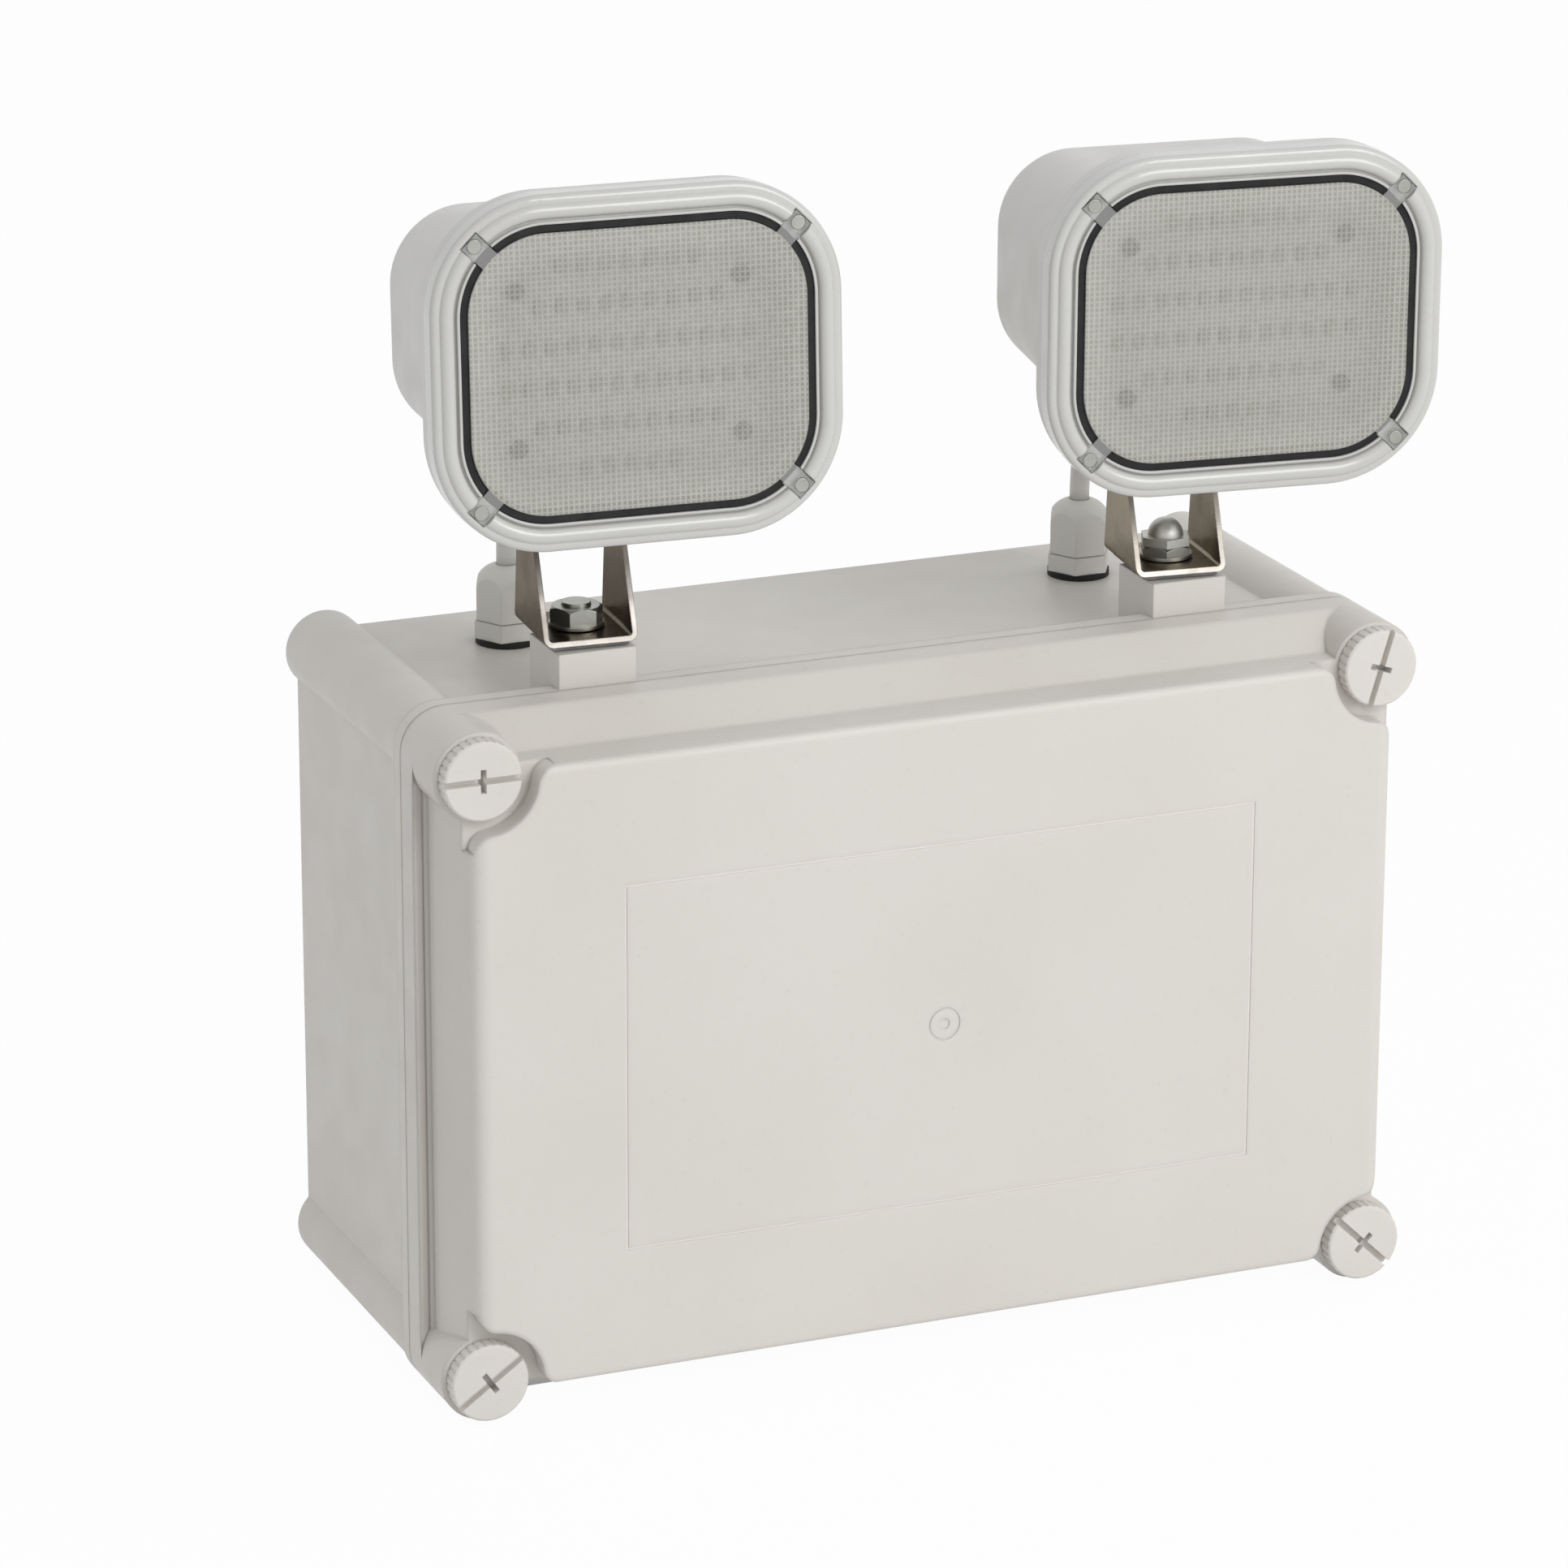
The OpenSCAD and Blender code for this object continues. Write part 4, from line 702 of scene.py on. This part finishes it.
for name, finish in given.items():
    nodes[name].data.materials.clear()
    nodes[name].data.materials.append(finish)


# Leads: the same route as the CAD's, straight up through the gland and in one bend into the head's back
LEAD_RADIUS = 2.85 * MM
LEAD_SIDES = 20
LEAD_STEPS = 28
PULL_UP = 30 * MM
PULL_BACK = 28 * MM
GROMMET_DROP = 18 * MM
HEAD_DEPTH = 82.5 * MM
GROMMET_OUT = 2.5 * MM
LEAD_IN_HEAD = 6 * MM


def directions(path):
    """The way along the path at each of its points."""
    last = len(path) - 1
    return [(path[min(k + 1, last)] - path[max(k - 1, 0)]).normalized() for k in range(last + 1)]


def path_length(path):
    return sum((b - a).length for a, b in zip(path, path[1:]))


def bend(mouth, above, behind, entry):
    """Points of a lead from the gland's mouth to the grommet, drawn toward above and behind on its way."""
    route = []
    for k in range(LEAD_STEPS + 1):
        u = k / LEAD_STEPS
        w = 1 - u
        route.append(w**3 * mouth + 3 * w * w * u * above + 3 * w * u * u * behind + u**3 * entry)
    return route


def tube(name, path, ways=None):
    """A round length of lead along points that lie near a plane of constant X, closed at both ends.
    Its rings stand square to ways, which two lengths that meet take from the route that they share."""
    mesh = bpy.data.meshes.new(name)
    bm = bmesh.new()
    rings = []
    for p, ahead in zip(path, ways or directions(path)):
        s = ahead.cross(Vector((1, 0, 0))).normalized()
        u = s.cross(ahead).normalized()
        ring = []
        for n in range(LEAD_SIDES):
            a = 2 * math.pi * n / LEAD_SIDES
            ring.append(bm.verts.new(p + LEAD_RADIUS * (math.cos(a) * s + math.sin(a) * u)))
        rings.append(ring)
    for a, b in zip(rings, rings[1:]):
        for n in range(LEAD_SIDES):
            m = (n + 1) % LEAD_SIDES
            bm.faces.new((a[n], a[m], b[m], b[n]))
    bm.faces.new(reversed(rings[0]))
    bm.faces.new(rings[-1])
    bmesh.ops.recalc_face_normals(bm, faces=bm.faces)
    for f in bm.faces:
        f.smooth = len(f.verts) == 4
    bm.to_mesh(mesh)
    bm.free()
    mesh.materials.append(sheath)
    made = bpy.data.objects.new(name, mesh)
    bpy.context.scene.collection.objects.link(made)
    return made


for side in SIDES:
    low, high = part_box(f"{side}_gland_cap")
    mouth = Vector(((low.x + high.x) / 2, (low.y + high.y) / 2, high.z))
    bottom = Vector((mouth.x, mouth.y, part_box(f"{side}_lead")[0].z))
    above = mouth + Vector((0, 0, PULL_UP))
    entry = faces[side] @ Vector((0, -GROMMET_DROP, -HEAD_DEPTH - GROMMET_OUT))
    behind = faces[side] @ Vector((0, -GROMMET_DROP, -HEAD_DEPTH - GROMMET_OUT - PULL_BACK))
    inside = faces[side] @ Vector((0, -GROMMET_DROP, LEAD_IN_HEAD - HEAD_DEPTH))
    route = bend(mouth, above, behind, entry)
    ways = directions(route)
    half = min(range(1, LEAD_STEPS), key=lambda k: abs(path_length(route[: k + 1]) - path_length(route[k:])))
    lower_path = route[: half + 1]
    upper_path = route[half:]
    stub = tube(f"{side}_lead_in_gland", [bottom, mouth])
    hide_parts(f"{side}_lead")
    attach(stub, "enclosure")
    lower = tube(f"{side}_lead_lower", lower_path, ways[: half + 1])
    upper = tube(f"{side}_lead_upper", upper_path, ways[half:])
    end = tube(f"{side}_lead_in_head", [entry, inside])
    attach(end, f"{side}_head_body")
    for piece in (lower, upper, end):
        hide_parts(f"{side}_lead")
    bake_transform(lower)
    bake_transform(upper)


# Stage: a pale floor, a white surround and a soft lamp
FLOOR_HALF = 12.0
FLOOR_GAP = 0.5 * MM
FLOOR_TONE = (0.86, 0.86, 0.86)
FLOOR_TONE_DEEP = (0.83, 0.83, 0.83)
FLOOR_CLOUD_SCALE = 3.0
FLOOR_SHEEN_SCALE = 200.0
FLOOR_GRAIN_SCALE = 500.0
FLOOR_GRAIN_DEPTH = 0.1 * MM
FLOOR_WHITE_SHARE = 0.96
AMBIENT = 0.58
KEY_DIRECTION = (0.32, -0.8, 0.46)
KEY_DISTANCE = 2.2
KEY_SIZE = 1.2
KEY_POWER = 20.5


def seen_directly(tree):
    """1 for the rays that show a thing itself, from the camera, off gloss or through clear pieces, else 0."""
    path = tree.nodes.new("ShaderNodeLightPath")
    total = path.outputs["Is Camera Ray"]
    for kind in ("Is Glossy Ray", "Is Transmission Ray"):
        n = tree.nodes.new("ShaderNodeMath")
        n.operation = "ADD"
        n.use_clamp = True
        tree.links.new(total, n.inputs[0])
        tree.links.new(path.outputs[kind], n.inputs[1])
        total = n.outputs[0]
    return total


def floor_material():
    """Pale card that lights the object from below, and looks nearly white itself."""
    s = Shader("floor_white")
    cloud = s.remap(s.noise(FLOOR_CLOUD_SCALE, 3.0), (0.4, 0.7), (0.0, 0.4))
    s.set(Base_Color=s.mix(cloud, FLOOR_TONE, FLOOR_TONE_DEEP))
    s.set(Roughness=s.remap(s.noise(FLOOR_SHEEN_SCALE), MOST, (0.6, 0.75)))
    s.set(Normal=s.bump(s.noise(FLOOR_GRAIN_SCALE), 0.1, FLOOR_GRAIN_DEPTH))
    glow = s.add("ShaderNodeEmission")
    s.put(glow.inputs["Color"], WHITE)
    s.put(glow.inputs["Strength"], 1.0)
    mixed = s.add("ShaderNodeMixShader")
    s.put(mixed.inputs[0], s.math("MULTIPLY", seen_directly(s.tree), FLOOR_WHITE_SHARE))
    s.put(mixed.inputs[1], s.bsdf.outputs[0])
    s.put(mixed.inputs[2], glow.outputs[0])
    s.put(s.tree.nodes["Material Output"].inputs["Surface"], mixed.outputs[0])
    return s.material


def build_floor():
    """A wide square just below the object."""
    level = cad_box[0].z - FLOOR_GAP
    h = FLOOR_HALF
    mesh = bpy.data.meshes.new("floor")
    mesh.from_pydata([(-h, -h, level), (h, -h, level), (h, h, level), (-h, h, level)], [], [(0, 1, 2, 3)])
    mesh.materials.append(floor_material())
    floor = bpy.data.objects.new("floor", mesh)
    bpy.context.scene.collection.objects.link(floor)


def build_surround():
    """A world that lights the object softly, and is white where it is seen."""
    world = bpy.data.worlds.new("surround")
    world.use_nodes = True
    tree = world.node_tree
    tree.nodes.clear()
    mixed = tree.nodes.new("ShaderNodeMixShader")
    tree.links.new(seen_directly(tree), mixed.inputs[0])
    for socket, strength in ((mixed.inputs[1], AMBIENT), (mixed.inputs[2], 1.0)):
        lit = tree.nodes.new("ShaderNodeBackground")
        lit.inputs["Color"].default_value = (*WHITE, 1.0)
        lit.inputs["Strength"].default_value = strength
        tree.links.new(lit.outputs[0], socket)
    out = tree.nodes.new("ShaderNodeOutputWorld")
    tree.links.new(mixed.outputs[0], out.inputs[0])
    bpy.context.scene.world = world


def softbox(name, direction, distance, size, power):
    """A square lamp that faces the middle of the object from a direction."""
    lamp = bpy.data.lights.new(name, "AREA")
    lamp.shape = "SQUARE"
    lamp.size = size
    lamp.energy = power
    made = bpy.data.objects.new(name, lamp)
    middle = (cad_box[0] + cad_box[1]) / 2
    toward = Vector(direction).normalized()
    made.location = middle + toward * distance
    made.rotation_mode = "QUATERNION"
    made.rotation_quaternion = toward.to_track_quat("Z", "Y")
    bpy.context.scene.collection.objects.link(made)


build_floor()
build_surround()
softbox("key", KEY_DIRECTION, KEY_DISTANCE, KEY_SIZE, KEY_POWER)

bpy.context.scene.view_settings.view_transform = "Standard"
